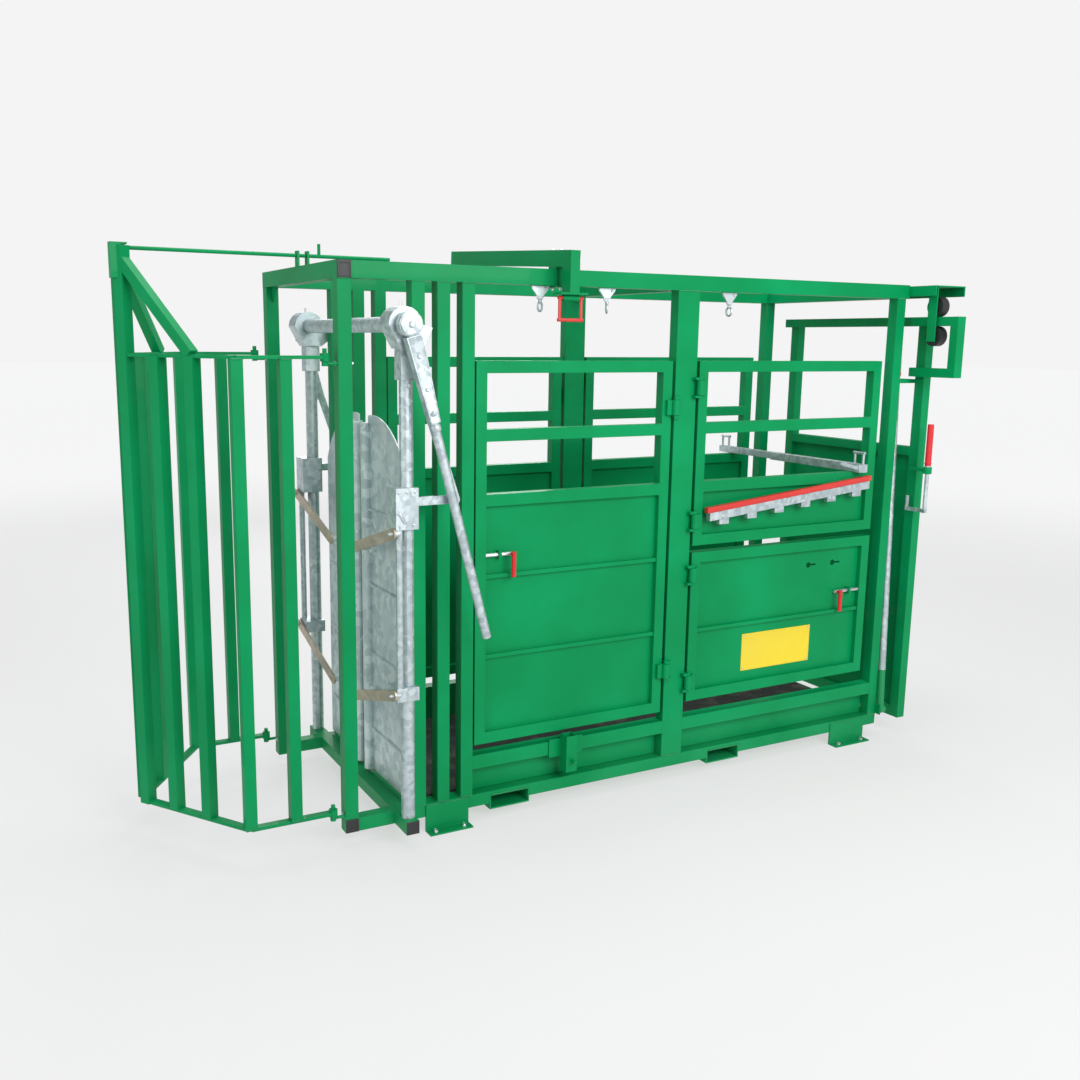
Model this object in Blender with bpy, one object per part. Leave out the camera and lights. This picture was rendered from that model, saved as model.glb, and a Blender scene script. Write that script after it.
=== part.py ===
"""A cattle crush: a welded tube race with side doors, a toggle-link head gate, exit gates and a rear gate.

The modelling frame has x = 0 at the front face of the front portal and +X towards the rear, y = 0 in
the middle with the left side at -Y, and z = 0 on the floor. The root empty moves it so that the
origin lies on the floor under the middle of the whole object. All lengths are metres.
"""

import math

import bmesh
import bpy
from mathutils import Matrix, Vector

# Frame
TUBE = 0.050
OUTER_WIDTH = 0.910
FRAME_HEIGHT = 2.060
FRAME_LENGTH = 2.680
FLOOR_CLEARANCE = 0.060
HALF = OUTER_WIDTH / 2
TOP_RAIL_HEIGHT = 0.060
KICK_RAIL_HEIGHT = 0.055
KICK_RAIL_ABOVE = 0.105
SHEET = 0.003
GAP = 0.0003
RUNNING_CLEARANCE = 0.0004
BAR_FIRST_X = 0.272
BAR_PITCH = 0.0985
BAR_WIDTH = 0.050
BARS = 3
CENTRE_POST_X = FRAME_LENGTH - 1.260
CENTRE_POST_WIDTH = 0.105
GUSSET = 0.060
GUSSET_THICKNESS = 0.006

# Feet, fork pockets and floor
FOOT_PLATE = 0.006
FOOT_FLANGE = 0.050
FRONT_FOOT_X = (0.320, 0.500)
REAR_FOOT_X = (FRAME_LENGTH - 0.290, FRAME_LENGTH - 0.080)
FORK_WIDTH = 0.177
FORK_HEIGHT = 0.060
FORK_WALL = 0.005
FORK_GROUND = 0.035
FRONT_FORK_X = 0.597
REAR_FORK_X = FRAME_LENGTH - 1.013
DECK_THICKNESS = 0.015
MAT_THICKNESS = 0.010

# Head gate
BASE_BEAM_X = 0.194
BASE_BEAM_HALF = HALF + 0.115
UPRIGHT_Y = HALF + 0.070
UPRIGHT_RADIUS = 0.025
UPRIGHT_TOP = 1.720
TORSION_X = 0.200
TORSION_Z = FLOOR_CLEARANCE + FRAME_HEIGHT - 0.212
TORSION_RADIUS = 0.0275
TORSION_HALF = HALF + 0.170
HOUSING_X = (0.163, 0.301)
HOUSING_Z = (TORSION_Z - 0.082, TORSION_Z + 0.061)
HOUSING_Y = (UPRIGHT_Y - 0.045, UPRIGHT_Y + 0.045)
CARRIAGE_FRONT = 0.160
CARRIAGE_BACK = 0.2455
CARRIAGE_Z = (1.202, 1.349)
CARRIAGE_Y = (UPRIGHT_Y - 0.045, UPRIGHT_Y + 0.047)
COLLAR_Z = (0.575, 0.625)
LIFT_ROD_X = 0.176
LIFT_ROD_Y = UPRIGHT_Y + 0.033
LIFT_ROD_RADIUS = 0.0125
ARM_Z = (1.285, 1.315)
ARM_END_X = 0.385
ARM_Y = (UPRIGHT_Y + 0.029, UPRIGHT_Y + 0.047)
LINK_FRONT = 0.150
LINK_THICKNESS = 0.008
LINK_WIDTH = 0.040
LINK_OUTER = (UPRIGHT_Y + 0.035, 1.190)
LINK_INNER = (0.110, 1.060)
LINK_DROP = 0.590
LINK_PIN_RADIUS = 0.008
HEAD_SHEET_X = 0.258
HEAD_SHEET = 0.005
HEAD_DOOR_BOTTOM = 0.125
HEAD_DOOR_EDGES = (0.050, HALF - 0.015)
HEAD_ARC_CENTRE = (0.100, 1.120)
HEAD_ARC_HALF_WIDTH = HALF - 0.055
HEAD_ARC_HEIGHT = 0.450
NECK_TUBE_RADIUS = 0.0225
NECK_TUBE_X = 0.250
RUNG_RADIUS = 0.0075
RUNGS = (0.300, 0.620, 0.900, 1.200)
LEVER_Y = UPRIGHT_Y + 0.080
LEVER_RADIUS = 0.017
LEVER_LENGTH = 1.160
LEVER_LEAN = math.radians(15)
LEVER_PIN_AT = 0.310
STRAP_Y = (UPRIGHT_Y + 0.053, UPRIGHT_Y + 0.059)
STRAP_WIDTH = 0.030

# Exit gates
EXIT_RUN_Y = HALF - 0.010
EXIT_PIVOT_X = -0.045
EXIT_CORNER_X = -0.350
EXIT_TIP_X = -0.648
EXIT_BAR = 0.041
EXIT_TOP = 1.795
EXIT_BOTTOM = 0.147
EXIT_FLAT = 0.012
EXIT_TIP_TOP = 2.165
EXIT_OBLIQUE_AT = (0.190, 0.350)
EXIT_SIDE_BAR_X = -0.186
LATCH_ROD_Z = FLOOR_CLEARANCE + FRAME_HEIGHT + 0.040
LATCH_ROD_RADIUS = 0.007
LATCH_ROD_X = (-0.600, 0.373)
LATCH_PLATE_OUT = 0.016
LATCH_GAP = 0.004

# Side doors
DOOR_TUBE = 0.045
FRONT_DOOR_X = (0.526, CENTRE_POST_X - 0.015)
FRONT_DOOR_Z = (0.313, 1.784)
REAR_DOOR_X = (CENTRE_POST_X + CENTRE_POST_WIDTH + 0.015, FRAME_LENGTH - 0.120)
UPPER_DOOR_Z = (1.020, 1.784)
LOWER_DOOR_Z = (0.340, 0.990)
MID_RAIL_Z = 1.488
PANEL_TOP = 1.290
PANEL_RECESS = 0.022
RIB = 0.016
HINGE_PIN_RADIUS = 0.008
HINGE_OUT = 0.018
HINGE_KNUCKLE = 0.016
BOLT_RADIUS = 0.008
BOLT_GRIP_RADIUS = 0.009
FRONT_BOLT_Z = 1.057
LOWER_BOLT_Z = 0.739
KEYHOLE_Z = 0.875

# Racks and rump bar
RACK_X = (REAR_DOOR_X[0] + 0.060, REAR_DOOR_X[1] - 0.060)
RACK_Z = (1.125, 1.215)
RACK_DEPTH = 0.030
RACK_BAR = 0.034
TEETH = 6
TOOTH = (0.050, 0.022)
STRIP_SIZE = 0.022
RUMP_X = FRAME_LENGTH - 0.230
RUMP_TUBE = 0.036
RUMP_HALF = HALF + 0.045
RUMP_LIFT = 0.0008
D_ROD_RADIUS = 0.0065

# Rear gate
TRACK_X = (FRAME_LENGTH + 0.020, FRAME_LENGTH + 0.205)
TRACK_DEPTH = 0.045
TRACK_WALL = 0.006
TRACK_Y = (-HALF - 0.145, HALF + 0.165)
TRACK_TOP = FLOOR_CLEARANCE + FRAME_HEIGHT - 0.005
ROLLER_RADIUS = 0.044
ROLLER_Y = -HALF - 0.115
ROLLER_X = (TRACK_X[0] + 0.037, TRACK_X[0] + 0.077)
AXLE_RADIUS = 0.008
GATE_RAIL_Z = (TRACK_TOP - 0.175, TRACK_TOP - 0.135)
GATE_STILE_X = (TRACK_X[0] + 0.0815, TRACK_X[0] + 0.1265)
GATE_STILE = 0.050
GATE_Y = (-HALF - 0.045, HALF - 0.075)
GATE_BOTTOM = 0.085
GATE_MID_Z = (1.350, 1.390)
LOOP_Y = -HALF - 0.245
LOOP_Z = TRACK_TOP - 0.400
GATE_LEVER_X = FRAME_LENGTH + 0.020
GATE_LEVER_RADIUS = 0.0165
GATE_LEVER_FOOT = (-HALF - 0.012, 0.134)
GATE_LEVER_HEAD = (-HALF + 0.048, TRACK_TOP - 0.170)
GATE_GRIP_FROM = TRACK_TOP - 0.401
PRONG = 0.006
PRONG_LEAD = 0.0100
PRONG_TRAIL = 0.0225
CRANK_X = TRACK_X[0] + 0.060
CRANK_Y = GATE_Y[0] - 0.080
CRANK_EYE_Z = (1.280, 1.310)
CRANK_ROD_RADIUS = 0.009
CRANK_ARM_Z = 1.108
CRANK_GRIP_TOP = 1.504
CRANK_ARM_END = GATE_Y[0] + 0.025

# Hoof care boom, bail, hangers and socket
BOOM_X = (0.850, 0.890)
BOOM_HEIGHT = 0.060
BOOM_REACH = -HALF - 0.110
BOOM_NEAR_Z = FLOOR_CLEARANCE + FRAME_HEIGHT + 0.032
BOOM_FAR_Z = BOOM_NEAR_Z + 0.060
BOOM_DROP = BOOM_NEAR_Z - 0.122
CLAMP_BOLT_RADIUS = 0.004
BAIL_ROD_RADIUS = 0.0065
BAIL_HALF = 0.046
BAIL_DROP = 0.080
HANGER_X = (0.801, 1.097, CENTRE_POST_X + 0.275)
HANGER_HALF = 0.036
HANGER_DROP = 0.040
SOCKET_X = 0.9375
SOCKET_Z = (0.150, 0.300)
SOCKET_TUBE = 0.050
SOCKET_WALL = 0.005
SOCKET_FLANGE_HALF = 0.078

# Derived frame levels
INNER = HALF - TUBE
RAIL_LOW = FLOOR_CLEARANCE
RAIL_HIGH = RAIL_LOW + TUBE
TOP_HIGH = FLOOR_CLEARANCE + FRAME_HEIGHT
TOP_LOW = TOP_HIGH - TOP_RAIL_HEIGHT
KICK_LOW = RAIL_HIGH + KICK_RAIL_ABOVE
KICK_HIGH = KICK_LOW + KICK_RAIL_HEIGHT
REAR_POST_X = FRAME_LENGTH - TUBE
CENTRE_POST_END = CENTRE_POST_X + CENTRE_POST_WIDTH
BARS_END = BAR_FIRST_X + (BARS - 1) * BAR_PITCH + BAR_WIDTH
BASE_BEAM_BACK = BASE_BEAM_X + TUBE
UPRIGHT_X = BASE_BEAM_X + TUBE / 2
RAIL_START = BASE_BEAM_BACK + GAP
KICK_START = BARS_END + GAP
HINGE_Y = HALF + HINGE_OUT
LINK_BACK = LINK_FRONT + LINK_THICKNESS
EXIT_RUN = Vector((EXIT_TIP_X - EXIT_CORNER_X, EXIT_RUN_Y)).normalized()
LEFT = -1
RIGHT = 1
SIDES = {"left": LEFT, "right": RIGHT}

GREEN = ((0.004, 0.330, 0.105), 0.35, 0.0)
GALVANISED = ((0.560, 0.620, 0.640), 0.38, 0.9)
RED = ((0.640, 0.012, 0.018), 0.40, 0.0)
BLACK = ((0.012, 0.013, 0.014), 0.55, 0.0)
SHEET_STEEL = ((0.420, 0.500, 0.510), 0.45, 0.8)


def clear_scene():
    for old in list(bpy.data.objects):
        bpy.data.objects.remove(old, do_unlink=True)


def paint(name, look):
    """A Principled material with the base colour, roughness and metallic value of a look."""
    colour, roughness, metallic = look
    material = bpy.data.materials.new(name)
    material.use_nodes = True
    shader = material.node_tree.nodes["Principled BSDF"]
    shader.inputs["Base Color"].default_value = (*colour, 1.0)
    shader.inputs["Roughness"].default_value = roughness
    shader.inputs["Metallic"].default_value = metallic
    return material


def piece_from(shape):
    """Turns a bmesh into a mesh that a node can be built from."""
    bmesh.ops.recalc_face_normals(shape, faces=shape.faces)
    mesh = bpy.data.meshes.new("piece")
    shape.to_mesh(mesh)
    shape.free()
    return mesh


def box(x, y, z):
    """A box between the limits of each axis, which come in either order."""
    low = Vector((min(x), min(y), min(z)))
    high = Vector((max(x), max(y), max(z)))
    shape = bmesh.new()
    bmesh.ops.create_cube(shape, size=1.0)
    bmesh.ops.scale(shape, vec=high - low, verts=shape.verts)
    bmesh.ops.translate(shape, vec=(low + high) / 2, verts=shape.verts)
    return piece_from(shape)


def slab(side, x, y, z):
    """A box whose y limits count outwards from the middle of one side."""
    return box(x, (side * y[0], side * y[1]), z)


def prism(outline, span, place):
    """Extrudes an outline over a span; place turns (u, v, w) of the outline and span into a point."""
    shape = bmesh.new()
    base = [shape.verts.new(place(u, v, span[0])) for u, v in outline]
    face = shape.faces.new(base)
    grown = bmesh.ops.extrude_face_region(shape, geom=[face])
    moved = [item for item in grown["geom"] if isinstance(item, bmesh.types.BMVert)]
    step = Vector(place(0, 0, span[1])) - Vector(place(0, 0, span[0]))
    bmesh.ops.translate(shape, vec=step, verts=moved)
    return piece_from(shape)


def along_x(u, v, w):
    return (w, u, v)


def along_y(u, v, w):
    return (u, w, v)


def along_z(u, v, w):
    return (u, v, w)


def rod(start, end, radius, sides=12):
    """A round bar between two points."""
    start, end = Vector(start), Vector(end)
    run = end - start
    shape = bmesh.new()
    bmesh.ops.create_cone(
        shape, cap_ends=True, segments=sides, radius1=radius, radius2=radius, depth=run.length
    )
    turn = Vector((0, 0, 1)).rotation_difference(run).to_matrix().to_4x4()
    shape.transform(Matrix.Translation((start + end) / 2) @ turn)
    return piece_from(shape)


def beam(start, end, width, height, up=(0, 0, 1)):
    """A square or flat bar between two points, its height towards up."""
    start, end = Vector(start), Vector(end)
    run = (end - start).normalized()
    across = Vector(up).cross(run).normalized()
    over = run.cross(across)
    shape = bmesh.new()
    bmesh.ops.create_cube(shape, size=1.0)
    bmesh.ops.scale(shape, vec=((end - start).length, width, height), verts=shape.verts)
    turn = Matrix((run, across, over)).transposed().to_4x4()
    shape.transform(Matrix.Translation((start + end) / 2) @ turn)
    return piece_from(shape)


def bore_radius(pin_radius, sides):
    """The corner radius of a faceted bore that clears a round pin all the way round."""
    return (pin_radius + RUNNING_CLEARANCE) / math.cos(math.pi / sides)


def loose(mesh, helpers):
    """Puts a mesh into a helper collection, as one operand of a Boolean."""
    helper = bpy.data.objects.new("helper", mesh)
    helper.hide_render = True
    helper.display_type = "WIRE"
    helpers.objects.link(helper)
    return helper


def combined(base, meshes, operation):
    """The base mesh after one exact Boolean with all the other meshes."""
    helpers = bpy.data.collections.new("helpers")
    bpy.context.scene.collection.children.link(helpers)
    subject = bpy.data.objects.new("subject", base)
    bpy.context.scene.collection.objects.link(subject)
    for mesh in meshes:
        loose(mesh, helpers)
    modifier = subject.modifiers.new("join", "BOOLEAN")
    modifier.operation = operation
    modifier.solver = "EXACT"
    modifier.operand_type = "COLLECTION"
    modifier.collection = helpers
    bpy.context.view_layer.update()
    graph = bpy.context.evaluated_depsgraph_get()
    result = bpy.data.meshes.new_from_object(subject.evaluated_get(graph))
    for helper in list(helpers.objects) + [subject]:
        bpy.data.objects.remove(helper, do_unlink=True)
    bpy.data.collections.remove(helpers)
    return result


def node(name, look, pieces, cuts=(), pivot=(0, 0, 0)):
    """One named solid from joined pieces, with its origin on its pivot."""
    mesh = combined(pieces[0], pieces[1:], "UNION") if len(pieces) > 1 else pieces[0]
    if cuts:
        cutter = combined(cuts[0], cuts[1:], "UNION") if len(cuts) > 1 else cuts[0]
        mesh = combined(mesh, [cutter], "DIFFERENCE")
    mesh.transform(Matrix.Translation(-Vector(pivot)))
    mesh.shade_smooth()
    mesh.set_sharp_from_angle(angle=math.radians(40))
    mesh.materials.clear()
    mesh.materials.append(paint(name + "_paint", look))
    made = bpy.data.objects.new(name, mesh)
    made.location = pivot
    made.parent = ROOT
    bpy.context.scene.collection.objects.link(made)
    return made


def make_root():
    """The empty that centres the object over its origin."""
    low_x = EXIT_TIP_X - LATCH_PLATE_OUT
    low_y = LOOP_Y
    root = bpy.data.objects.new("crush", None)
    root.location = (-(low_x + TRACK_X[1]) / 2, -(low_y + TRACK_Y[1]) / 2, 0)
    bpy.context.scene.collection.objects.link(root)
    return root


def foot(side, x):
    """A Z-bracket: its lip on the rail's outer face, its web down to the flange on the floor."""
    out = HALF + FOOT_PLATE
    web = slab(side, x, (HALF - FOOT_PLATE / 2, out), (0, RAIL_HIGH - FOOT_PLATE))
    flange = slab(side, x, (HALF, HALF + FOOT_FLANGE), (0, FOOT_PLATE))
    return [web, flange]


def fork_notch(x):
    """The room that a fork pocket takes out of the bottom rails."""
    z = (RAIL_LOW - TUBE, FORK_GROUND + FORK_HEIGHT + GAP)
    return box((x - GAP, x + FORK_WIDTH + GAP), (-OUTER_WIDTH, OUTER_WIDTH), z)


def bottom_rail(name, side):
    rail = slab(side, (RAIL_START, FRAME_LENGTH), (INNER, HALF), (RAIL_LOW, RAIL_HIGH))
    feet = foot(side, FRONT_FOOT_X) + foot(side, REAR_FOOT_X)
    cuts = [fork_notch(FRONT_FORK_X), fork_notch(REAR_FORK_X)]
    node(name + "_bottom_rail", GREEN, [rail] + feet, cuts)


def front_base():
    """The head gate's cross beam with the two short sills that carry the front portal."""
    level = (RAIL_LOW, RAIL_HIGH)
    beam_piece = box((BASE_BEAM_X, BASE_BEAM_BACK), (-BASE_BEAM_HALF, BASE_BEAM_HALF), level)
    sills = [slab(side, (0, BASE_BEAM_X + TUBE / 2), (INNER, HALF), level) for side in (LEFT, RIGHT)]
    node("front_base_frame", GREEN, [beam_piece] + sills)


def kick_rail(name, side):
    """The second rail in two lengths on a sheet that runs on behind the centre post."""
    start, end = KICK_START, REAR_POST_X - GAP
    sheet_y = (INNER - SHEET - 0.002, INNER - GAP)
    level = (KICK_LOW, KICK_HIGH)
    sheet = slab(side, (start, end), sheet_y, (RAIL_HIGH + GAP, KICK_HIGH))
    front = slab(side, (start, CENTRE_POST_X - GAP), (INNER - SHEET, HALF), level)
    rear = slab(side, (CENTRE_POST_END + GAP, end), (INNER - SHEET, HALF), level)
    node(name + "_kick_rail", GREEN, [sheet, front, rear])


def top_rail(name, side):
    """The top rail with the three upright bars that hang from its front part."""
    y = (INNER, HALF)
    pieces = [slab(side, (TUBE + GAP, TRACK_X[0] - GAP), y, (TOP_LOW, TOP_HIGH))]
    for bar in range(BARS):
        x = BAR_FIRST_X + bar * BAR_PITCH
        pieces.append(slab(side, (x, x + BAR_WIDTH), y, (RAIL_HIGH + GAP, TOP_LOW + TUBE / 2)))
    if side == LEFT:
        pieces += [hanger_lug(x) for x in HANGER_X]
    node(name + "_top_rail", GREEN, pieces)


def hanger_lug(x):
    """A lug under the left top rail that a ring hangs in."""
    y = -(INNER + TUBE / 2)
    low = TOP_LOW - HANGER_DROP
    outline = [
        (x - HANGER_HALF, TOP_LOW + 0.004),
        (x + HANGER_HALF, TOP_LOW + 0.004),
        (x + HANGER_HALF, TOP_LOW - 0.010),
        (x + 0.012, low),
        (x - 0.012, low),
        (x - HANGER_HALF, TOP_LOW - 0.010),
    ]
    return prism(outline, (y - 0.004, y + 0.004), along_y)


def hinge_pin(side, x, z, carrier_x):
    """An upright pin and the lug that carries it, both outside the frame's outer face."""
    y = side * HINGE_Y
    pin = rod((x, y, z - 0.045), (x, y, z + 0.045), HINGE_PIN_RADIUS)
    lugs = []
    for end in (-0.036, 0.036):
        lug_y = (HALF - 0.003, HINGE_Y + 0.006)
        lugs.append(slab(side, (carrier_x, x), lug_y, (z + end - 0.005, z + end + 0.005)))
    return [pin] + lugs


def knuckle(side, x, z, leaf_x):
    """The tube that turns on a hinge pin, with the leaf that joins it to the door."""
    y = side * HINGE_Y
    half = 0.030
    tube = rod((x, y, z - half), (x, y, z + half), HINGE_KNUCKLE, 12)
    leaf = slab(side, (leaf_x, x), (HALF - 0.004, HINGE_Y - 0.003), (z - half, z + half))
    hole = rod((x, y, z - 0.1), (x, y, z + 0.1), bore_radius(HINGE_PIN_RADIUS, 12))
    return [tube, leaf], [hole]


def hinge_heights(z):
    """Two hinge heights a fixed way in from the ends of a door."""
    inset = min(0.185, (z[1] - z[0]) * 0.14)
    return (z[0] + inset, z[1] - inset)


def front_hinge_x():
    return (FRONT_DOOR_X[1] + CENTRE_POST_X) / 2


def rear_hinge_x():
    return (CENTRE_POST_END + REAR_DOOR_X[0]) / 2


def centre_post(name, side):
    x = (CENTRE_POST_X, CENTRE_POST_END)
    pieces = [slab(side, x, (INNER, HALF), (RAIL_HIGH + GAP, TOP_LOW - GAP))]
    for z in hinge_heights(FRONT_DOOR_Z):
        pieces += hinge_pin(side, front_hinge_x(), z, CENTRE_POST_X + 0.020)
    for door in (UPPER_DOOR_Z, LOWER_DOOR_Z):
        for z in hinge_heights(door):
            pieces += hinge_pin(side, rear_hinge_x(), z, CENTRE_POST_END - 0.020)
    node(name + "_centre_post", GREEN, pieces)


def front_post(name, side):
    """A portal post with the eye-bolts and pins that the exit gate hangs on."""
    pieces = [slab(side, (0, TUBE), (INNER, HALF), (RAIL_HIGH + GAP, TOP_LOW - GAP))]
    y = side * EXIT_RUN_Y
    for z in (EXIT_BOTTOM, EXIT_TOP):
        pieces.append(rod((EXIT_PIVOT_X, y, z - 0.030), (EXIT_PIVOT_X, y, z - 0.014), 0.011))
        pieces.append(rod((EXIT_PIVOT_X, y, z - 0.022), (EXIT_PIVOT_X, y, z + 0.030), LINK_PIN_RADIUS))
        pieces.append(rod((EXIT_PIVOT_X, y, z - 0.021), (0.010, y, z - 0.021), 0.006))
    node(name + "_front_post", GREEN, pieces)


def rear_post(name, side):
    pieces = [slab(side, (REAR_POST_X, FRAME_LENGTH), (INNER, HALF), (RAIL_HIGH + GAP, TOP_LOW - GAP))]
    if side == LEFT:
        foot_y, foot_z = GATE_LEVER_FOOT
        plate_y = (INNER + 0.010, abs(foot_y) + 0.020)
        plate = (FRAME_LENGTH - 0.004, FRAME_LENGTH + 0.002)
        pieces.append(slab(side, plate, plate_y, (foot_z - 0.022, foot_z + 0.022)))
        pieces.append(rod((FRAME_LENGTH, foot_y, foot_z), (GATE_LEVER_X + 0.024, foot_y, foot_z), AXLE_RADIUS))
    node(name + "_rear_post", GREEN, pieces)


def front_beam():
    """The front cross beam with its corner gussets and the two guide lugs of the latch rod."""
    pieces = [box((0, TUBE), (-HALF, HALF), (TOP_LOW, TOP_HIGH))]
    middle = TUBE / 2
    inner = INNER - GAP
    for side in (LEFT, RIGHT):
        corner = [
            (side * inner, TOP_LOW + 0.005),
            (side * inner, TOP_LOW - GUSSET),
            (side * (inner - GUSSET - 0.005), TOP_LOW + 0.005),
        ]
        span = (middle - GUSSET_THICKNESS / 2, middle + GUSSET_THICKNESS / 2)
        pieces.append(prism(corner, span, along_x))
    lug_half = 0.016
    hole = bore_radius(LATCH_ROD_RADIUS, 12)
    for x in (0.002, TUBE - 0.010):
        top = LATCH_ROD_Z + hole + 0.009
        pieces.append(box((x, x + 0.008), (-lug_half, lug_half), (TOP_HIGH - 0.003, top)))
    way = rod((-0.1, 0, LATCH_ROD_Z), (0.1, 0, LATCH_ROD_Z), hole)
    node("front_top_beam", GREEN, pieces, [way])


def cross_beams():
    y = (-INNER + GAP, INNER - GAP)
    middle = CENTRE_POST_X + (CENTRE_POST_WIDTH - TUBE) / 2
    node("centre_top_beam", GREEN, [box((middle, middle + TUBE), y, (TOP_LOW, TOP_HIGH))])
    node("rear_top_beam", GREEN, [box((REAR_POST_X, FRAME_LENGTH), y, (TOP_LOW, TOP_HIGH))])


def floor():
    """The deck lies on the fork pockets between the kick sheets, with the mat on top."""
    deck_y = INNER - SHEET - 0.002 - GAP
    deck_low = FORK_GROUND + FORK_HEIGHT + GAP
    deck_high = deck_low + DECK_THICKNESS
    x = (RAIL_START, FRAME_LENGTH)
    node("floor_deck", GREEN, [box(x, (-deck_y, deck_y), (deck_low, deck_high))])
    mat_low = deck_high + GAP
    mat_x = (x[0] + 0.030, x[1] - 0.030)
    node("floor_mat", BLACK, [box(mat_x, (0.008 - deck_y, deck_y - 0.008), (mat_low, mat_low + MAT_THICKNESS))])


def fork_tube(name, x):
    z = (FORK_GROUND, FORK_GROUND + FORK_HEIGHT)
    outer = box((x, x + FORK_WIDTH), (-HALF, HALF), z)
    bore_x = (x + FORK_WALL, x + FORK_WIDTH - FORK_WALL)
    bore = box(bore_x, (-OUTER_WIDTH, OUTER_WIDTH), (z[0] + FORK_WALL, z[1] - FORK_WALL))
    node(name, GREEN, [outer], [bore])


def hoof_socket():
    """The square socket for a hoof block, bolted to the left kick rail by its flange."""
    out = HALF + GAP
    flange_x = (SOCKET_X - SOCKET_FLANGE_HALF, SOCKET_X + SOCKET_FLANGE_HALF)
    flange = slab(LEFT, flange_x, (out, out + FOOT_PLATE), (KICK_LOW - 0.010, KICK_HIGH + 0.010))
    half = SOCKET_TUBE / 2
    middle = out + FOOT_PLATE / 2 + half
    tube = slab(LEFT, (SOCKET_X - half, SOCKET_X + half), (middle - half, middle + half), SOCKET_Z)
    screw = rod((SOCKET_X, -middle - 0.015, 0.200), (SOCKET_X, -middle - 0.055, 0.200), 0.007)
    clear = half - SOCKET_WALL
    hole = slab(LEFT, (SOCKET_X - clear, SOCKET_X + clear), (middle - clear, middle + clear), (0, 1))
    node("hoof_socket", GREEN, [flange, tube, screw], [hole])


def track_housing():
    """The inverted channel over the rear gate, with the strap and axles of its two rollers."""
    x, low = TRACK_X, TRACK_TOP - TRACK_DEPTH
    wall = TRACK_WALL
    pieces = [
        box(x, TRACK_Y, (TRACK_TOP - wall, TRACK_TOP)),
        box((x[0], x[0] + wall), TRACK_Y, (low, TRACK_TOP)),
        box((x[1] - wall, x[1]), TRACK_Y, (low, TRACK_TOP)),
    ]
    strap_x = (ROLLER_X[0] - 0.011 - wall, ROLLER_X[0] - 0.011)
    upper, lower = roller_heights()
    strap_z = (lower - 0.024, TRACK_TOP - wall / 2)
    pieces.append(box(strap_x, (ROLLER_Y - 0.023, ROLLER_Y + 0.023), strap_z))
    for z in (upper, lower):
        start, end = strap_x[0] + wall / 2, ROLLER_X[1] + 0.002
        pieces.append(rod((start, ROLLER_Y, z), (end, ROLLER_Y, z), AXLE_RADIUS))
        pieces.append(rod((start, ROLLER_Y, z), (ROLLER_X[0] - GAP, ROLLER_Y, z), AXLE_RADIUS * 1.8))
    node("track_housing", GREEN, pieces)


def roller_heights():
    """The axle heights of the rollers over and under the gate's top rail."""
    return (GATE_RAIL_Z[1] + GAP + ROLLER_RADIUS, GATE_RAIL_Z[0] - GAP - ROLLER_RADIUS)


def rollers():
    for name, z in zip(("upper_roller", "lower_roller"), roller_heights()):
        wheel = rod((ROLLER_X[0], ROLLER_Y, z), (ROLLER_X[1], ROLLER_Y, z), ROLLER_RADIUS, 24)
        hole = rod((2, ROLLER_Y, z), (3, ROLLER_Y, z), bore_radius(AXLE_RADIUS, 12))
        node(name, BLACK, [wheel], [hole], (ROLLER_X[0], ROLLER_Y, z))


def rear_gate():
    """The sliding gate: stiles and sheet behind its top rail, and the loop round the rollers."""
    x, rail_x = GATE_STILE_X, (ROLLER_X[0], GATE_STILE_X[0] + 0.002)
    near, far = GATE_Y
    z = (GATE_BOTTOM, GATE_RAIL_Z[1])
    tube = GATE_RAIL_Z[1] - GATE_RAIL_Z[0]
    pieces = [
        box(x, (near, near + GATE_STILE), z),
        box(x, (far - GATE_STILE, far), z),
        box(x, (near, far), (GATE_BOTTOM, GATE_BOTTOM + TUBE)),
        box(x, (near, far), GATE_MID_Z),
        box((x[0] + 0.018, x[0] + 0.018 + SHEET), (near + 0.01, far - 0.01), (GATE_BOTTOM + 0.01, GATE_MID_Z[0] + 0.01)),
        box(rail_x, (LOOP_Y, far), GATE_RAIL_Z),
        box(rail_x, (LOOP_Y, LOOP_Y + tube), (LOOP_Z, GATE_RAIL_Z[1])),
        box(rail_x, (LOOP_Y, near + GATE_STILE), (LOOP_Z, LOOP_Z + tube)),
    ]
    pieces += gate_fork() + crank_eye()
    cut = rod((CRANK_X, CRANK_Y, 1), (CRANK_X, CRANK_Y, 1.5), bore_radius(CRANK_ROD_RADIUS, 12))
    node("rear_gate", GREEN, pieces, [cut])


def gate_fork():
    """The two prongs that take the hand lever along, with play for the lever's swing."""
    z = (GATE_GRIP_FROM - 0.030, GATE_GRIP_FROM - 0.012)
    foot_y, foot_z = GATE_LEVER_FOOT
    head_y, head_z = GATE_LEVER_HEAD
    lever_y = foot_y + (z[0] - foot_z) * (head_y - foot_y) / (head_z - foot_z)
    near = lever_y - GATE_LEVER_RADIUS - PRONG_LEAD
    far = lever_y + GATE_LEVER_RADIUS + PRONG_TRAIL
    prong_x = (GATE_LEVER_X - 0.014, GATE_STILE_X[0] + 0.003)
    back = box((GATE_STILE_X[0] - PRONG, GATE_STILE_X[0] + 0.003), (GATE_Y[0] + 0.010, far + PRONG), z)
    return [box(prong_x, (near - PRONG, near), z), box(prong_x, (far, far + PRONG), z), back]


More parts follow.
